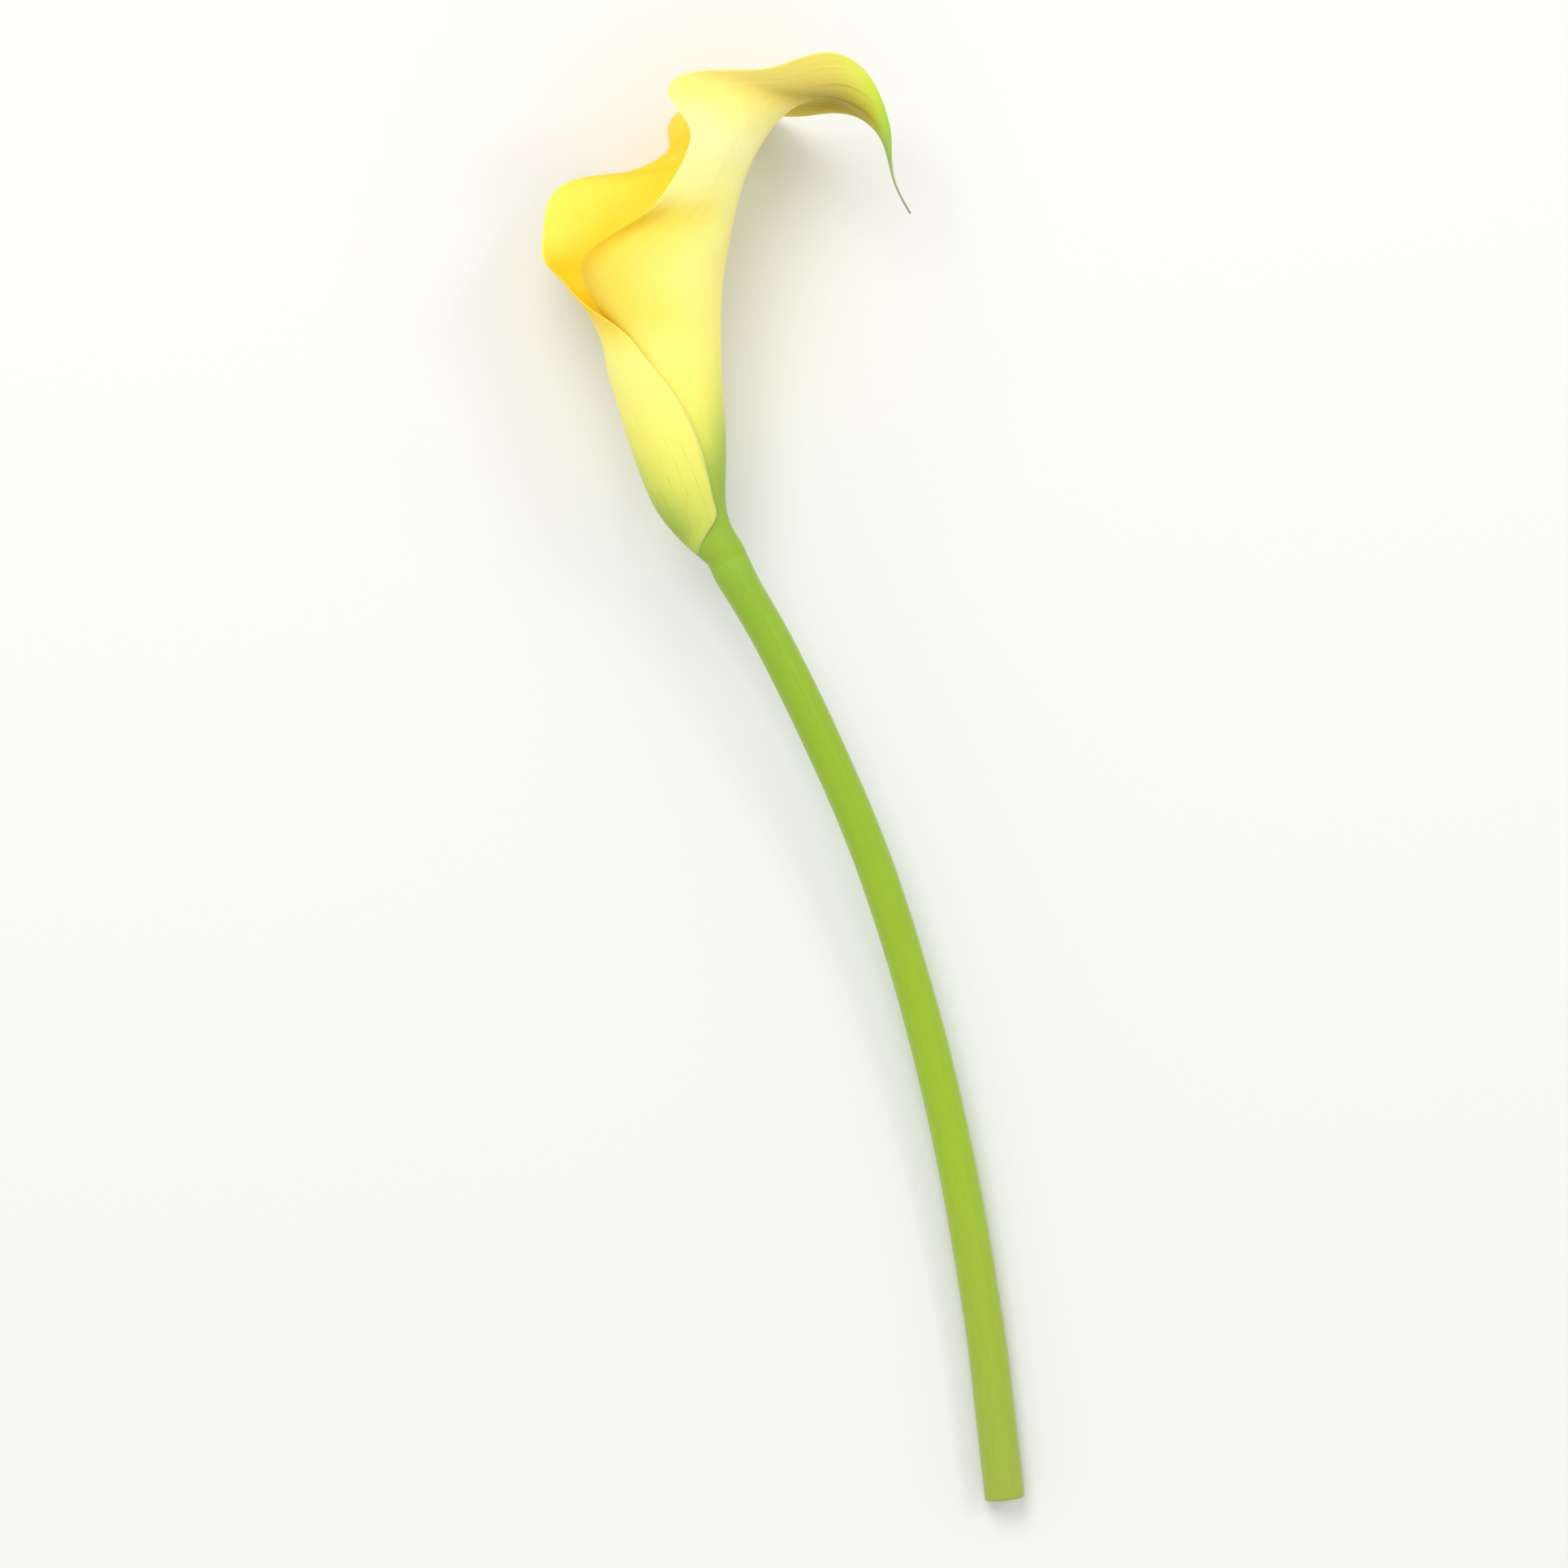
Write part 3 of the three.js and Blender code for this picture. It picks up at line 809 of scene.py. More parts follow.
def stem_finish(look):
    """The stem's skin: waxy green with faint fibres and pale flecks."""
    material, w, shader = new_finish("stem skin", **tissue(0.42, 0.2, (1.0, 0.9, 0.3), 0.9))
    around = w.attribute("around", "Vector")
    along = w.attribute("along")
    # it is waxy, but no glossier than the spathe where the two meet
    w.feed(shader.inputs["Roughness"], w.band(along, 0.94, 0.985, 0.3, 0.5))
    base = w.ramp(
        along,
        [
            (0.0, "#9fb03a"),
            (0.35, "#9aba1e"),
            (0.85, look.green),
            (0.96, "#8fb328"),
            (1.0, "#8fb42e"),
        ],
    )
    run = w.vector_sum("ADD", around, w.vector(0.0, 0.0, w.times(along, 5.0)))
    streak = w.noise(run, 7.0, 4.0, 0.6)
    colour = w.mix(w.band(streak, 0.35, 0.75, 0.0, 0.28), base, "#84a82c")
    run = w.vector(0.0, 0.0, w.times(along, 9.0))
    fibre = w.noise(w.vector_sum("ADD", w.vector_sum("SCALE", around, 4.0), run), 9.0, 3.0, 0.6)
    colour = w.mix(w.band(fibre, 0.5, 0.8, 0.0, 0.16), colour, "#bcd45c")
    spots = w.node(
        "ShaderNodeTexVoronoi",
        {"Vector": w.node("ShaderNodeTexCoord").outputs["Object"], "Scale": 520.0, "Randomness": 1.0},
    ).outputs["Distance"]
    fleck = w.band(spots, 0.05, 0.14, 0.06, 0.0)
    colour = w.mix(fleck, colour, "#d2e08c")
    w.feed(shader.inputs["Base Color"], colour)
    relief = w.plus(w.times(fibre, 0.5), w.times(streak, 0.4))
    bump(w, shader, relief, 0.035 * MM, 0.5)
    return material


def cut_finish(look):
    """The cut end: pale, wet flesh with darker strands and a green rim."""
    wet = tissue(0.5, 0.3, (0.8, 1.0, 0.4), 1.0)
    material, w, shader = new_finish("cut flesh", Roughness=0.3, **wet)
    base = w.ramp(
        w.attribute("reach"),
        [
            (0.0, "#eef1cf"),
            (0.6, look.flesh),
            (0.86, "#c6d884"),
            (0.95, "#9cbf4b"),
            (1.0, "#86ab39"),
        ],
    )
    sponge = w.noise(w.node("ShaderNodeTexCoord").outputs["Object"], 1900.0, 4.0, 0.65)
    colour = w.mix(w.band(sponge, 0.35, 0.7, 0.0, 0.45), base, "#c8d59a")
    colour = w.mix(w.band(w.attribute("strand"), 0.3, 0.9, 0.0, 0.7), colour, "#b3c272")
    w.feed(shader.inputs["Base Color"], colour)
    bump(w, shader, sponge, 0.12 * MM, 0.8)
    return material


def spadix_finish(look):
    """The spadix: powdery golden florets, greener towards the foot, with painted shade between them."""
    powdery = {"Roughness": 0.82, "Sheen Weight": 0.2, **tissue(0.25, 0.1, (1.0, 0.7, 0.2), 0.5)}
    material, w, shader = new_finish("spadix", **powdery)
    place = w.node("ShaderNodeTexCoord").outputs["Object"]
    mottle = w.noise(place, 700.0, 3.0)
    shown = w.plus(w.attribute("along"), w.times(w.sum("SUBTRACT", mottle, 0.5), 0.12))
    base = w.ramp(
        shown,
        [
            (0.0, look.green),
            (0.2, "#d8cc4c"),
            (0.32, "#efc52e"),
            (0.7, look.gold),
            (1.0, "#f9cf3a"),
        ],
    )
    # painted shade: each floret darkens towards its foot, and so does the core between them, as shade
    # between the florets
    colour = w.mix(w.band(w.attribute("height"), -0.2, 0.9, 0.75, 0.0), base, "#b87d12")
    pollen = w.noise(place, 6000.0, 2.0)
    colour = w.mix(w.band(pollen, 0.5, 0.75, 0.0, 0.45), colour, "#ffe27a")
    w.feed(shader.inputs["Base Color"], colour)
    bump(w, shader, pollen, 0.08 * MM, 0.8)
    return material


def floor_finish(look):
    """A plain pale floor."""
    material, w, shader = new_finish("floor", Roughness=0.85)
    place = w.node("ShaderNodeTexCoord").outputs["Object"]
    tone = w.band(w.noise(place, 3.0, 2.0), 0.3, 0.7, 0.0, 0.02)
    w.feed(shader.inputs["Base Color"], w.mix(tone, tuple(look.pale), "#e2e2e0"))
    return material


# ---------- the spathe ----------
def half_widths(places, taper):
    """The arc length of each row from the midrib to its outer and to its covered edge."""
    lengths = []
    for sign in (-1, 1):
        sides = sign * np.linspace(0, 1, WIDTH_STEPS)[None, :]
        grid = sheet_points(sides, places[:, None], taper, 1.0)
        lengths.append(np.linalg.norm(np.diff(grid, axis=1), axis=2).sum(1))
    return lengths


def spathe_grid(look):
    """The sheet's middle points, half its thickness at each, and what the petal finish reads."""
    down = np.linspace(-FOOT_OVERLAP, 0, FOOT_ROWS)[:-1]
    places = np.concatenate([down, spaced_places(FINE_ROWS)])
    length = SPATHE["length"]
    first, last = (length - distance for distance in TAIL_NARROWS)
    taper = 1 - (1 - TAIL_HAIR) * smoothstep(places, first, last)
    taper = taper[:, None]
    widths = half_widths(places, taper)

    thick = look.thickness / MM
    thin = smoothstep(places, 0.7 * length, last)
    whole = thick + (look.tip_thickness / MM - thick) * thin
    radius = whole / 2
    turn = np.linspace(0, math.pi / 2, MARGIN_STEPS + 1)[:-1]
    inset = 1 - np.cos(turn)
    columns = []
    for sign, width in zip((-1, 1), widths):
        rounding = np.minimum(radius, WIDEST_MARGIN * width)
        margin = 1 - rounding[:, None] * inset[None, :] / width[:, None]
        plain_end = 1 - rounding / width
        share = np.linspace(1, 0, FINE_COLUMNS // 2 + 1)[None, :] * plain_end[:, None]
        columns.append(sign * np.concatenate([margin, share], axis=1))
    sides = np.concatenate([columns[0], columns[1][:, ::-1][:, 1:]], axis=1)
    # the flap's lower corner is rounded off
    corner = smoothstep(-sides, CORNER_FROM, 1.0) ** 1.5
    corner = corner * (1 - smoothstep(places, -FOOT_OVERLAP, CORNER_TOP))[:, None]
    spots = places[:, None] + FLAP_RISE * corner
    grid = sheet_points(sides, spots, taper, 1.0)

    width = np.where(sides < 0, widths[0][:, None], widths[1][:, None])
    rim = (1 - np.abs(sides)) * width
    r = np.minimum(radius[:, None], WIDEST_MARGIN * width)
    rounded = np.sqrt(np.clip(1 - np.clip(1 - rim / r, 0, 1) ** 2, 0, 1))
    flap = np.where(sides < 0, 1 - smoothstep(places, *FLAP_ENDS)[:, None], 0)
    left = THIN_MARGIN + (FLAP_MARGIN - THIN_MARGIN) * flap
    # the foot is thick enough, right up to its covered edge, to be flush with the stem
    low = 1 - smoothstep(places, *FOOT_EDGE_ENDS)[:, None]
    left = left + np.where(sides > 0, FOOT_EDGE - left, 0) * low
    reach = np.interp(places, MARGIN_GROWS, (FOOT_MARGIN_WIDTH, MARGIN_WIDTH))[:, None]
    thinned = left + (1 - left) * smoothstep(rim, 0, reach)
    # the tail's end is drawn out to a round hair
    round_end = smoothstep(places, *(length - distance for distance in TAIL_ROUNDS))[:, None]
    thinned = thinned + (1 - thinned) * round_end
    bead = MARGIN_BEAD * flap * np.exp(-((rim / BEAD_WIDTH) ** 2))
    half = (radius[:, None] * thinned + bead) * rounded
    # the corner's lower edge is rounded too, where it stands free of the stem
    rise = np.clip((places + FOOT_OVERLAP) / FLAP_EDGE, 0, 1)
    full = np.sqrt(1 - (1 - rise) ** 2)[:, None]
    half = half * (1 - smoothstep(-sides, *CORNER_FREE) * (1 - full))
    # shallow lengthwise folds, and none where the sheet is gripped or drawn out
    calm = smoothstep(places, 3, 20) * smoothstep(length - places, 8, 30)
    fold = np.sin(sides * FLUTES * math.pi + 0.8 * np.sin(places / 9)[:, None]) * FLUTE_DEPTH
    grid = grid + sheet_normals(grid) * (fold * calm[:, None] * smoothstep(rim, 0.5, 4))[..., None]
    return grid, half, sides, places, rim


def make_spathe_mesh(look):
    """One closed sheet: two faces that meet in rounded edges."""
    grid, half, sides, places, rim = spathe_grid(look)
    rows, columns = sides.shape
    normals = sheet_normals(grid)
    # the foot thins out onto the stem, on its outer face
    feather = smoothstep(places, -FOOT_OVERLAP, FOOT_FEATHER - FOOT_OVERLAP)[:, None]
    inner_face = grid + normals * half[..., None]
    outer_face = grid - normals * (half * (FOOT_SINK + (1 - FOOT_SINK) * feather))[..., None]
    points = np.concatenate([inner_face.reshape(-1, 3), outer_face[:, 1:-1].reshape(-1, 3)])

    inner_at = np.arange(rows * columns).reshape(rows, columns)
    outer_at = inner_at.copy()
    outer_at[:, 1:-1] = rows * columns + np.arange(rows * (columns - 2)).reshape(rows, columns - 2)
    inside = np.ones((rows, columns))
    inside[:, [0, -1]] = 0.5
    place = np.broadcast_to(places[:, None], sides.shape)
    layers = {
        name: np.concatenate([values.ravel(), values[:, 1:-1].ravel()])
        for name, values in (("side", sides), ("place", place), ("rim", rim))
    }
    layers["inner"] = np.concatenate([inside.ravel(), np.zeros(rows * (columns - 2))])

    def cells(at, a, b, c, d):
        corners = {"p": at[:-1, :-1], "q": at[:-1, 1:], "r": at[1:, 1:], "s": at[1:, :-1]}
        return np.stack([corners[k].ravel() for k in (a, b, c, d)], 1)

    faces = [cells(inner_at, "p", "q", "r", "s"), cells(outer_at, "p", "s", "r", "q")]
    foot = [outer_at[0, :-1], outer_at[0, 1:], inner_at[0, 1:], inner_at[0, :-1]]
    tip = [inner_at[-1, :-1], inner_at[-1, 1:], outer_at[-1, 1:], outer_at[-1, :-1]]
    faces += [np.stack(foot, 1), np.stack(tip, 1)]
    polygons = []
    for face in np.concatenate(faces).tolist():
        kept = list(dict.fromkeys(face))
        if len(kept) > 2:
            polygons.append(kept)
    return new_piece("spathe_sheet", in_frame(points), polygons, layers)


# ---------- the stem ----------
def stem_tree():
    """A tube along a path, with faint ribs, flattened where it lies on the surface."""
    tree, w, given, finish = new_geometry_tree(
        "Stem tube", {"Sides": "Int", "Ribs": "Int", "Rib depth": "Float", "Finish": "Material"}
    )
    spline = w.node("GeometryNodeSplineParameter").outputs["Factor"]
    path = w.store(given["Geometry"], "along", spline)
    circle = w.node("GeometryNodeCurvePrimitiveCircle", {"Resolution": given["Sides"], "Radius": 1.0})
    place = w.node("GeometryNodeInputPosition").outputs[0]
    angle = w.times(w.node("GeometryNodeSplineParameter").outputs["Factor"], 2 * math.pi)
    wave = w.sum("COSINE", w.times(angle, given["Ribs"]))
    swell = w.sum("MULTIPLY_ADD", wave, given["Rib depth"], 1.0)
    ribbed = w.node(
        "GeometryNodeSetPosition",
        {"Geometry": circle.outputs[0], "Position": w.vector_sum("SCALE", place, swell)},
    ).outputs[0]
    section = w.store(ribbed, "around", place, "FLOAT_VECTOR")
    tube = w.node(
        "GeometryNodeCurveToMesh",
        {
            "Curve": path,
            "Profile Curve": section,
            "Scale": w.node("GeometryNodeInputRadius").outputs[0],
            "Fill Caps": True,
        },
    ).outputs[0]
    split = w.node("ShaderNodeSeparateXYZ", {0: w.node("GeometryNodeInputPosition").outputs[0]}).outputs
    rested = w.vector(split[0], split[1], w.sum("MAXIMUM", split[2], 0.0))
    resting = w.node("GeometryNodeSetPosition", {"Geometry": tube, "Position": rested}).outputs[0]
    end_tree(w, resting, given["Finish"], finish)
    return tree


GOLDEN_ANGLE = math.pi * (3 - math.sqrt(5))
STEM_RINGS = 420
CUT_RINGS = 7  # rings that round the edge of the cut
PLUG_RINGS = 14
LINE_STEPS = 2000  # steps that a centre line is measured in
STEM_TOP_TUCK = 0.1  # the stem's skin is this much slimmer than the spathe's foot
STEM_TOP_SINK = 0.12  # and sinks this much more, under the foot
STEM_SINK_LENGTH = 3.0  # over this length
STEM_REACH = 0.45  # how far the stem goes on past its line, into the foot
CUT_ROUNDING = 0.35
PLUG_RADIUS = 2.5  # the stem's tip, inside the foot of the spathe
PLUG_LENGTH = 1.9
PLUG_STEP = 0.02  # the skin turns into the tip over this length
LEAST_RADIUS = 0.02  # so that the ends of the stem's path don't close to a point
CUT_OVERLAP = 0.12  # the cut face reaches this far over the stem's rounded edge
CUT_DOME = 0.16  # how far its middle stands out
BUNDLE_RADIUS = 0.085
BUNDLE_FLATNESS = 0.35
BUNDLE_SPREAD = 0.58  # 0.5 would space the strands evenly, and more crowds them in the middle
BUNDLE_REACH = 0.93  # share of the face's radius that they fill
BUNDLE_SIZES = (0.6, 1.25)
BUNDLE_SEED = 7


def stem_radius(travelled, length):
    """The stem's radius at a distance from the cut."""
    share = np.minimum(1, travelled / STEM_STRAIGHTENS)
    slim = STEM_CUT_RADIUS + (STEM_TOP_RADIUS - STEM_CUT_RADIUS) * share
    collar = smoothstep(travelled, length - STEM_COLLAR_LENGTH, length)
    top = float(SPATHE["radius"](0.0)) + SHEET / 2 - STEM_TOP_TUCK
    sunk = STEM_TOP_SINK * smoothstep(travelled, length - STEM_SINK_LENGTH, length)
    radius = slim + (top - slim) * collar - sunk
    # its girth is a little uneven
    radius = radius * (1 + 0.006 * np.sin(travelled / 7.0) * np.sin(travelled / 17.0))
    lost = np.clip(1 - travelled / CUT_ROUNDING, 0, 1)
    radius = radius - CUT_ROUNDING * (1 - np.sqrt(1 - lost**2))
    into = np.clip((travelled - length) / PLUG_LENGTH, 0, 1)
    plug = PLUG_RADIUS * np.sqrt(1 - np.maximum(0, (into - 0.4) / 0.6) ** 2.4)
    return np.where(travelled > length, plug, radius)


def stem_path():
    """The stem's path from the cut up into the spathe's foot, and its radius at each point."""
    line = curve_through(STEM_LINE[::-1])
    ahead = line[-1] - line[-2]
    ahead = ahead / np.linalg.norm(ahead)
    length = length_of(line) + STEM_REACH
    line = np.vstack([line, line[-1] + ahead * (STEM_REACH + PLUG_LENGTH)])
    # rings crowd together where the cut's edge and the tip are rounded
    cut = CUT_ROUNDING * (1 - np.cos(np.linspace(0, math.pi / 2, CUT_RINGS)))[:-1]
    skin = np.linspace(CUT_ROUNDING, length, STEM_RINGS)
    rounding = np.sin(np.linspace(0, math.pi / 2, PLUG_RINGS))
    plug = length + PLUG_STEP + (PLUG_LENGTH - PLUG_STEP) * rounding
    travelled = np.concatenate([cut, skin, plug])
    fine = evenly_along(line, length + PLUG_LENGTH, LINE_STEPS)
    at = np.linspace(0, length + PLUG_LENGTH, LINE_STEPS)
    places = np.stack([np.interp(travelled, at, fine[:, k]) for k in range(3)], 1)
    return places, np.maximum(stem_radius(travelled, length), LEAST_RADIUS)


class ARUM_OT_stem(bpy.types.Operator):
    """Make the stem, from its cut to the foot of the spathe"""

    bl_idname = "arum.stem"
    bl_label = "Make the stem"

    def execute(self, context):
        look = context.scene.arum_stem
        places, radii = stem_path()
        path = path_object("stem_path", (places + SHIFT) * MM, radii * MM)
        inputs = {
            "Sides": look.sides,
            "Ribs": look.ribs,
            "Rib depth": look.rib_depth,
            "Finish": stem_finish(look),
        }
        piece = keep_shape("stem_skin", path, stem_tree(), inputs)
        dress(piece, "stem")
        return {"FINISHED"}


def cut_tree():
    """A slightly domed disc with the ends of strands on a spiral, turned to face out of the cut."""
    tree, w, given, finish = new_geometry_tree(
        "Cut face",
        {
            "Radius": "Float",
            "Dome": "Float",
            "Bundles": "Int",
            "Bundle": "Float",
            "Seed": "Int",
            "Facing": "Vector",
            "Centre": "Vector",
            "Finish": "Material",
        },
    )
    # the flesh is a very flat ball, half of it inside the stem
    ball = w.node("GeometryNodeMeshUVSphere", {"Segments": 72, "Rings": 36, "Radius": 1.0}).outputs["Mesh"]
    flat = w.vector(given["Radius"], given["Radius"], given["Dome"])
    flesh = w.node("GeometryNodeTransform", {"Geometry": ball, "Scale": flat}).outputs[0]
    place = w.node("GeometryNodeInputPosition").outputs[0]
    level = w.vector_sum("MULTIPLY", place, (1.0, 1.0, 0.0))
    reach = w.sum("DIVIDE", w.vector_sum("LENGTH", level), given["Radius"])
    flesh = w.store(flesh, "strand", 0.0)

    index = w.node("GeometryNodeInputIndex").outputs[0]
    share = w.sum("DIVIDE", w.plus(index, 0.6), given["Bundles"])
    out = w.times(w.sum("POWER", share, BUNDLE_SPREAD), BUNDLE_REACH)
    turn = w.times(index, GOLDEN_ANGLE)
    away = w.times(out, given["Radius"])
    # on the dome, and a little proud of it
    rise = w.sum("SQRT", w.sum("SUBTRACT", 1.0, w.times(out, out)))
    height = w.times(rise, given["Dome"], 0.97)
    spots = w.vector(w.times(away, w.sum("COSINE", turn)), w.times(away, w.sum("SINE", turn)), height)
    points = w.node("GeometryNodePoints", {"Count": given["Bundles"], "Position": spots}).outputs[0]
    knob = w.node(
        "GeometryNodeMeshUVSphere", {"Segments": 10, "Rings": 6, "Radius": given["Bundle"]}
    ).outputs["Mesh"]
    flatter = {"Geometry": knob, "Scale": (1.0, 1.0, BUNDLE_FLATNESS)}
    knob = w.store(w.node("GeometryNodeTransform", flatter).outputs[0], "strand", 1.0)
    size = w.random(*BUNDLE_SIZES, given["Seed"])
    strands = w.node(
        "GeometryNodeInstanceOnPoints",
        {"Points": points, "Instance": knob, "Scale": w.vector(size, size, size)},
    ).outputs[0]
    real = w.node("GeometryNodeRealizeInstances", {0: w.join(flesh, strands)}).outputs[0]
    real = w.store(real, "reach", reach)
    facing = w.node(
        "FunctionNodeAlignRotationToVector", {"Vector": given["Facing"], "Factor": 1.0}, axis="Z"
    ).outputs[0]
    turned = w.node(
        "GeometryNodeTransform", {"Geometry": real, "Translation": given["Centre"], "Rotation": facing}
    ).outputs[0]
    end_tree(w, turned, given["Finish"], finish)
    return tree


class ARUM_OT_cut(bpy.types.Operator):
    """Make the face of the cut, with the ends of the strands that run up the stem"""

    bl_idname = "arum.cut"
    bl_label = "Make the cut face"

    def execute(self, context):
        look = context.scene.arum_stem
        places, _ = stem_path()
        facing = Vector(places[0] - places[CUT_RINGS - 1]).normalized()
        path = path_object("cut_path", (places[:2] + SHIFT) * MM, [MM, MM])
        inputs = {
            "Radius": (STEM_CUT_RADIUS - CUT_ROUNDING + CUT_OVERLAP) * MM,
            "Dome": CUT_DOME * MM,
            "Bundles": look.bundles,
            "Bundle": BUNDLE_RADIUS * MM,
            "Seed": BUNDLE_SEED,
            "Facing": facing,
            "Centre": (places[0] + SHIFT) * MM,
            "Finish": cut_finish(look),
        }
        piece = keep_shape("stem_cut_face", path, cut_tree(), inputs)
        dress(piece, "stem")
        return {"FINISHED"}


class ARUM_OT_spathe(bpy.types.Operator):
    """Make the spathe, the rolled sheet of the bloom"""

    bl_idname = "arum.spathe"
    bl_label = "Make the spathe"

    def execute(self, context):
        look = context.scene.arum_spathe
        piece = make_spathe_mesh(look)
        dress(piece, "spathe", petal_finish(look))
        return {"FINISHED"}


# ---------- the spadix ----------
def spadix_radius(share):
    """The spadix's girth without its florets."""
    foot = smoothstep(share, 0, 0.3)
    body = SPADIX_FOOT_RADIUS + (SPADIX_RADIUS - SPADIX_FOOT_RADIUS) * foot
    tip = np.sqrt(np.maximum(0, 1 - np.maximum(0, (share - 0.8) / 0.2) ** 2.4))
    return body * (1 - 0.12 * share) * tip


SPADIX_RINGS = 90
SPADIX_STEPS = 400  # steps that its centre line is measured in
FLORET_SINK = 0.32  # the core lies this much under the spadix's own girth
FLORETS_FROM = 0.135  # share of its length where they begin
FLORETS_SHARE = 0.86  # and the share that they cover
FLORET_SIZES = (0.86, 1.12)
FLORET_SEED = 4


def spadix_tree():
    """A core along a path, set with florets on a spiral."""
    tree, w, given, finish = new_geometry_tree(
        "Spadix florets", {"Florets": "Int", "Floret": "Float", "Seed": "Int", "Finish": "Material"}
    )
    factor = w.node("GeometryNodeSplineParameter").outputs["Factor"]
    path = w.store(given["Geometry"], "along", factor)
    circle = w.node("GeometryNodeCurvePrimitiveCircle", {"Resolution": 32, "Radius": 1.0}).outputs[0]
    girth = w.node("GeometryNodeInputRadius").outputs[0]
    core = w.node(
        "GeometryNodeCurveToMesh",
        {"Curve": path, "Profile Curve": circle, "Scale": girth, "Fill Caps": True},
    ).outputs[0]
    core = w.store(core, "height", 0.0)

    # places along the path, a golden turn apart
    index = w.node("GeometryNodeInputIndex").outputs[0]
    share = w.sum("DIVIDE", w.plus(index, 0.5), given["Florets"])
    share = w.sum("MULTIPLY_ADD", share, FLORETS_SHARE, FLORETS_FROM)
    turn = w.times(index, GOLDEN_ANGLE)
    sample = w.node(
        "GeometryNodeSampleCurve",
        {"Curves": path, "Factor": share, "Value": girth},
        mode="FACTOR",
        use_all_curves=True,
    ).outputs
    ahead = sample["Tangent"]
    across = w.vector_sum("NORMALIZE", w.vector_sum("CROSS_PRODUCT", ahead, (0.0, 0.0, 1.0)))
    over = w.vector_sum("CROSS_PRODUCT", across, ahead)
    outward = w.vector_sum(
        "ADD",
        w.vector_sum("SCALE", across, w.sum("COSINE", turn)),
        w.vector_sum("SCALE", over, w.sum("SINE", turn)),
    )
    place = w.vector_sum("ADD", sample["Position"], w.vector_sum("SCALE", outward, sample["Value"]))
    # florets at the tip lean along the spadix
    lean = w.band(share, 0.86, 0.995, 0.0, 1.6)
    facing = w.vector_sum("NORMALIZE", w.vector_sum("ADD", outward, w.vector_sum("SCALE", ahead, lean)))
    points = w.node("GeometryNodePoints", {"Count": given["Florets"], "Position": place}).outputs[0]
    points = w.store(points, "along", share)
    knob = w.node(
        "GeometryNodeMeshUVSphere", {"Segments": 8, "Rings": 6, "Radius": given["Floret"]}
    ).outputs["Mesh"]
    bud = w.node("ShaderNodeSeparateXYZ", {0: w.node("GeometryNodeInputPosition").outputs[0]}).outputs[2]
    knob = w.store(knob, "height", w.sum("DIVIDE", bud, given["Floret"]))
    turned = w.node(
        "FunctionNodeAlignRotationToVector", {"Vector": facing, "Factor": 1.0}, axis="Z"
    ).outputs[0]
    amount = w.random(*FLORET_SIZES, given["Seed"])
    smaller = w.times(amount, w.band(share, 0.14, 0.35, 0.72, 1.0))
    size = w.vector(smaller, smaller, smaller)
    florets = w.node(
        "GeometryNodeInstanceOnPoints",
        {"Points": points, "Instance": knob, "Rotation": turned, "Scale": size},
    ).outputs[0]
    end_tree(w, w.join(core, florets), given["Finish"], finish)
    return tree


class ARUM_OT_spadix(bpy.types.Operator):
    """Make the spadix, with its florets on a spiral"""

    bl_idname = "arum.spadix"
    bl_label = "Make the spadix"

    def execute(self, context):
        look = context.scene.arum_spadix
        share = 1 - np.linspace(1, 0, SPADIX_RINGS) ** 1.6
        line = curve_through(SPADIX_LINE)
        fine = evenly_along(line, SPADIX_LENGTH, SPADIX_STEPS)
        travelled = np.linspace(0, 1, SPADIX_STEPS)
        places = np.stack([np.interp(share, travelled, fine[:, k]) for k in range(3)], 1)
        radii = np.maximum(spadix_radius(share) - FLORET_SINK * smoothstep(share, 0.05, 0.2), 0.05) * MM
        path = path_object("spadix_path", (places + SHIFT) * MM, radii)
        inputs = {
            "Florets": look.florets,
            "Floret": look.floret,
            "Seed": FLORET_SEED,
            "Finish": spadix_finish(look),
        }
        piece = keep_shape("spadix_florets", path, spadix_tree(), inputs)
        dress(piece, "spadix")
        return {"FINISHED"}


# ---------- the stage ----------
LENS = 180.0
SENSOR = 36.0
SKY_STRENGTH = 0.78
# Each light's name, place, width in metres and power in watts.
LIGHTS = [("key", (-0.3, 0.8, 1.25), 0.9, 10.0), ("fill", (0.95, 0.45, 1.2), 0.4, 2.8)]


def aim(thing, place, target=(0.0, 0.0, 0.0)):
    """Moves a light or camera to a place and turns it to its target."""
    thing.location = place
    away = Vector(target) - Vector(place)
    thing.rotation_mode = "QUATERNION"
    thing.rotation_quaternion = away.to_track_quat("-Z", "Y")


def soft_light(name, place, width, power):
    data = bpy.data.lights.new(name, "AREA")
    data.shape = "DISK"
    data.size = width
    data.energy = power
    light = bpy.data.objects.new(name, data)
    bpy.context.scene.collection.objects.link(light)
    aim(light, place)
    light.visible_camera = False


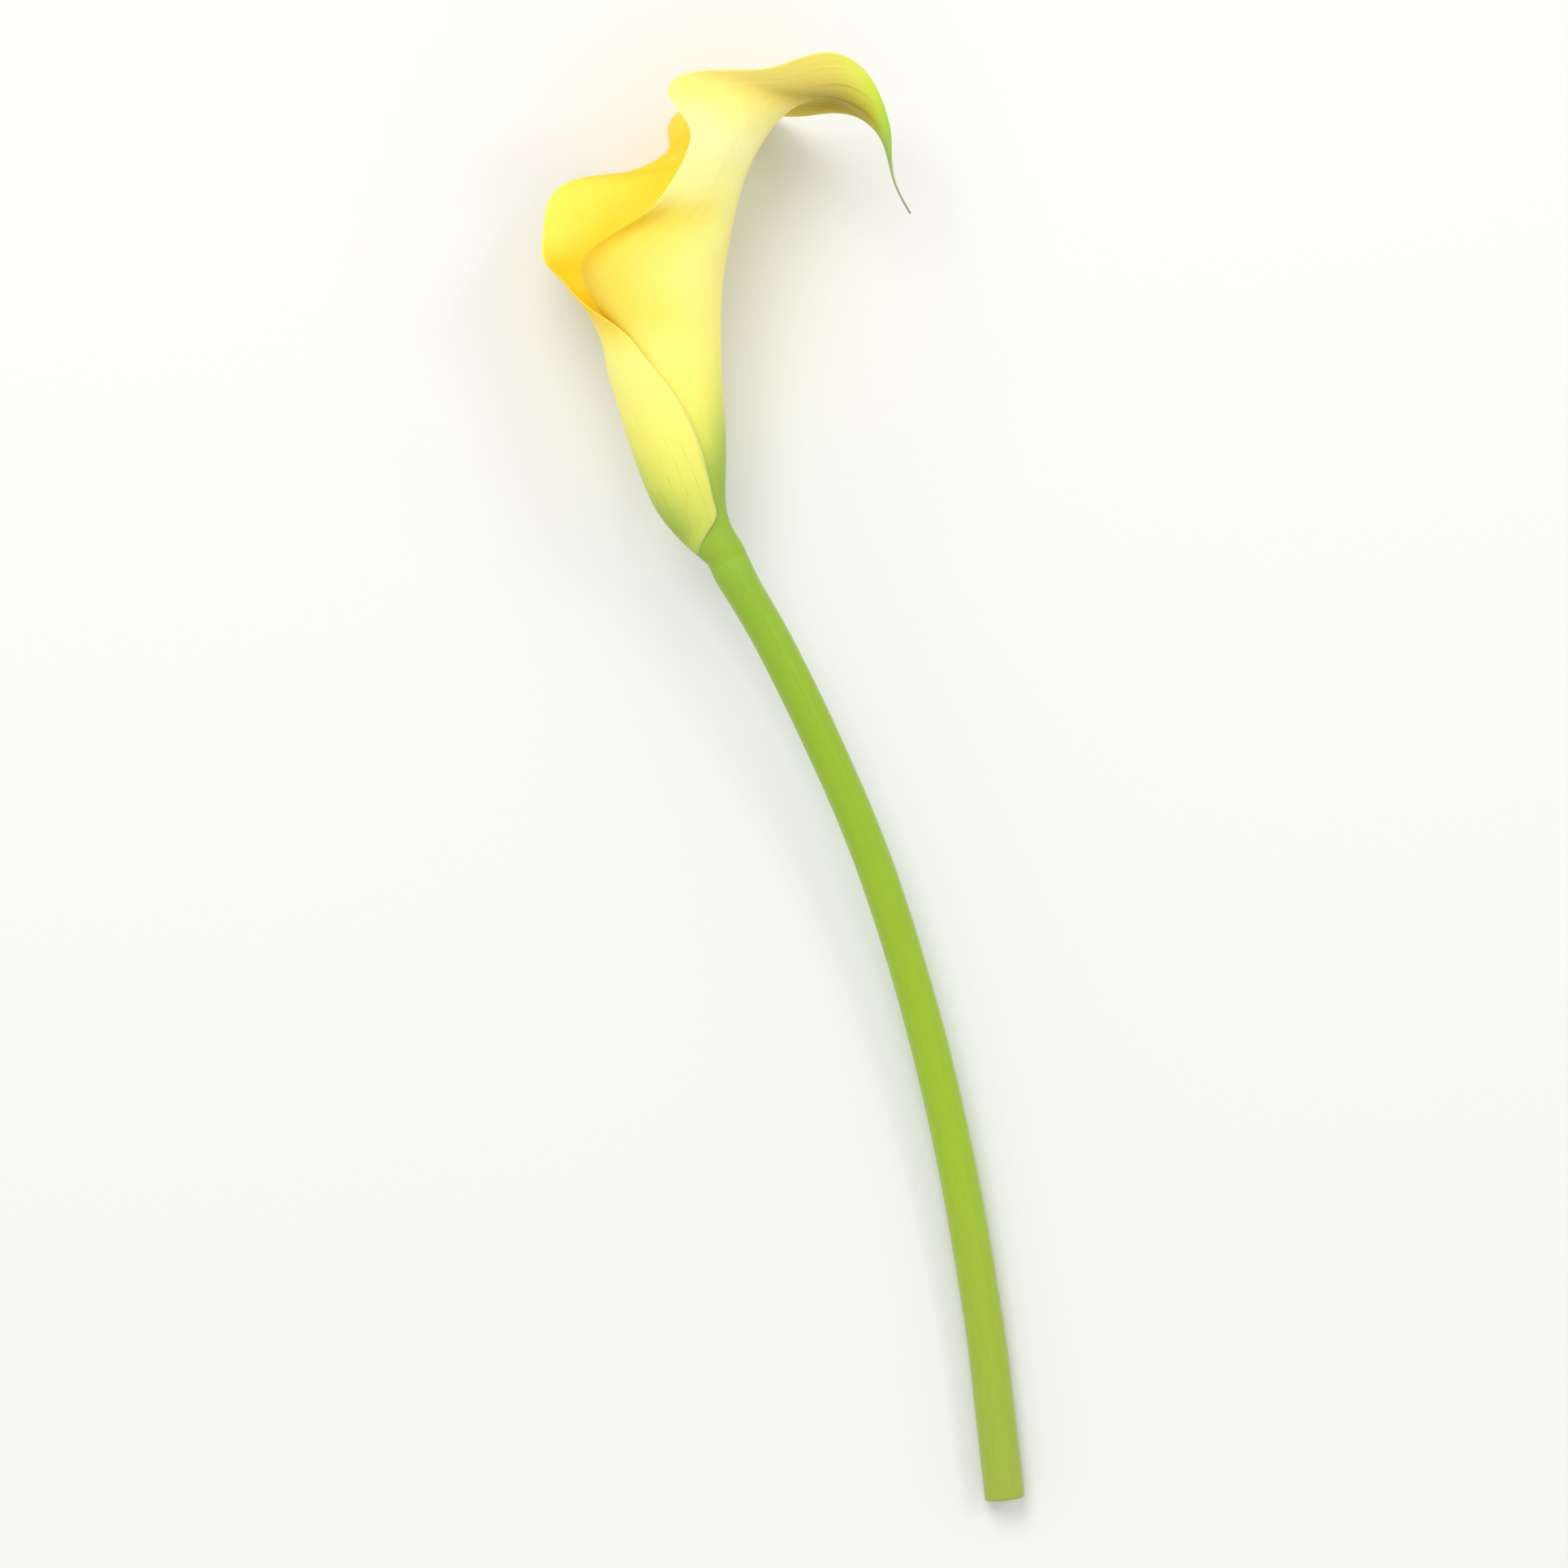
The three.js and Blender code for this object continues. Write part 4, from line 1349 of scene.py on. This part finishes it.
class ARUM_OT_stage(bpy.types.Operator):
    """Make the pale floor, the soft lights and the camera that looks down on the flower"""

    bl_idname = "arum.stage"
    bl_label = "Make the stage"

    def execute(self, context):
        look = context.scene.arum_stage
        scene = context.scene
        half = look.floor / 2
        corners = np.array([(-half, -half, 0), (half, -half, 0), (half, half, 0), (-half, half, 0)])
        floor = new_piece("floor", corners, [(0, 1, 2, 3)])
        floor.data.materials.append(floor_finish(look))

        world = bpy.data.worlds.new("studio")
        world.use_nodes = True
        sky = Wiring(world.node_tree)
        world.node_tree.nodes.clear()
        glow = sky.node("ShaderNodeBackground", {"Color": (1.0, 1.0, 1.0, 1.0), "Strength": SKY_STRENGTH})
        sky.feed(sky.node("ShaderNodeOutputWorld").inputs[0], glow.outputs[0])
        scene.world = world
        for light in LIGHTS:
            soft_light(*light)

        data = bpy.data.cameras.new("camera")
        data.lens = LENS
        data.sensor_width = SENSOR
        camera = bpy.data.objects.new("camera", data)
        scene.collection.objects.link(camera)
        distance = look.shown * LENS / SENSOR
        centre = (CAD_BOX[0] + CAD_BOX[1]) / 2
        aim(camera, (centre.x, centre.y, centre.z + distance), centre)
        data.clip_start = 0.05
        data.clip_end = 20
        scene.camera = camera
        scene.view_settings.view_transform = "Standard"
        return {"FINISHED"}


class ARUM_PT_panel(bpy.types.Panel):
    """The flower's operators and settings"""

    bl_idname = "ARUM_PT_panel"
    bl_label = "Arum lily flower"
    bl_space_type = "VIEW_3D"
    bl_region_type = "UI"
    bl_category = "Arum lily"

    def draw(self, context):
        for operator, settings in STEPS:
            self.layout.operator(operator)
            if settings:
                group = getattr(context.scene, settings)
                column = self.layout.column()
                for name in group.bl_rna.properties.keys():
                    if name not in ("rna_type", "name"):
                        column.prop(group, name)


STEPS = [
    ("arum.stage", "arum_stage"),
    ("arum.stem", "arum_stem"),
    ("arum.cut", None),
    ("arum.spathe", "arum_spathe"),
    ("arum.spadix", "arum_spadix"),
]

SETTINGS = {
    "arum_spathe": ArumSpatheSettings,
    "arum_stem": ArumStemSettings,
    "arum_spadix": ArumSpadixSettings,
    "arum_stage": ArumStageSettings,
}

CLASSES = [
    *SETTINGS.values(),
    ARUM_OT_stage,
    ARUM_OT_stem,
    ARUM_OT_cut,
    ARUM_OT_spathe,
    ARUM_OT_spadix,
    ARUM_PT_panel,
]


def register():
    for cls in CLASSES:
        bpy.utils.register_class(cls)
    for name, cls in SETTINGS.items():
        setattr(bpy.types.Scene, name, PointerProperty(type=cls))


def unregister():
    for name in SETTINGS:
        delattr(bpy.types.Scene, name)
    for cls in reversed(CLASSES):
        bpy.utils.unregister_class(cls)


def main():
    register()
    for operator, _ in STEPS:
        group, name = operator.split(".")
        getattr(getattr(bpy.ops, group), name)()


if __name__ == "__main__":
    main()
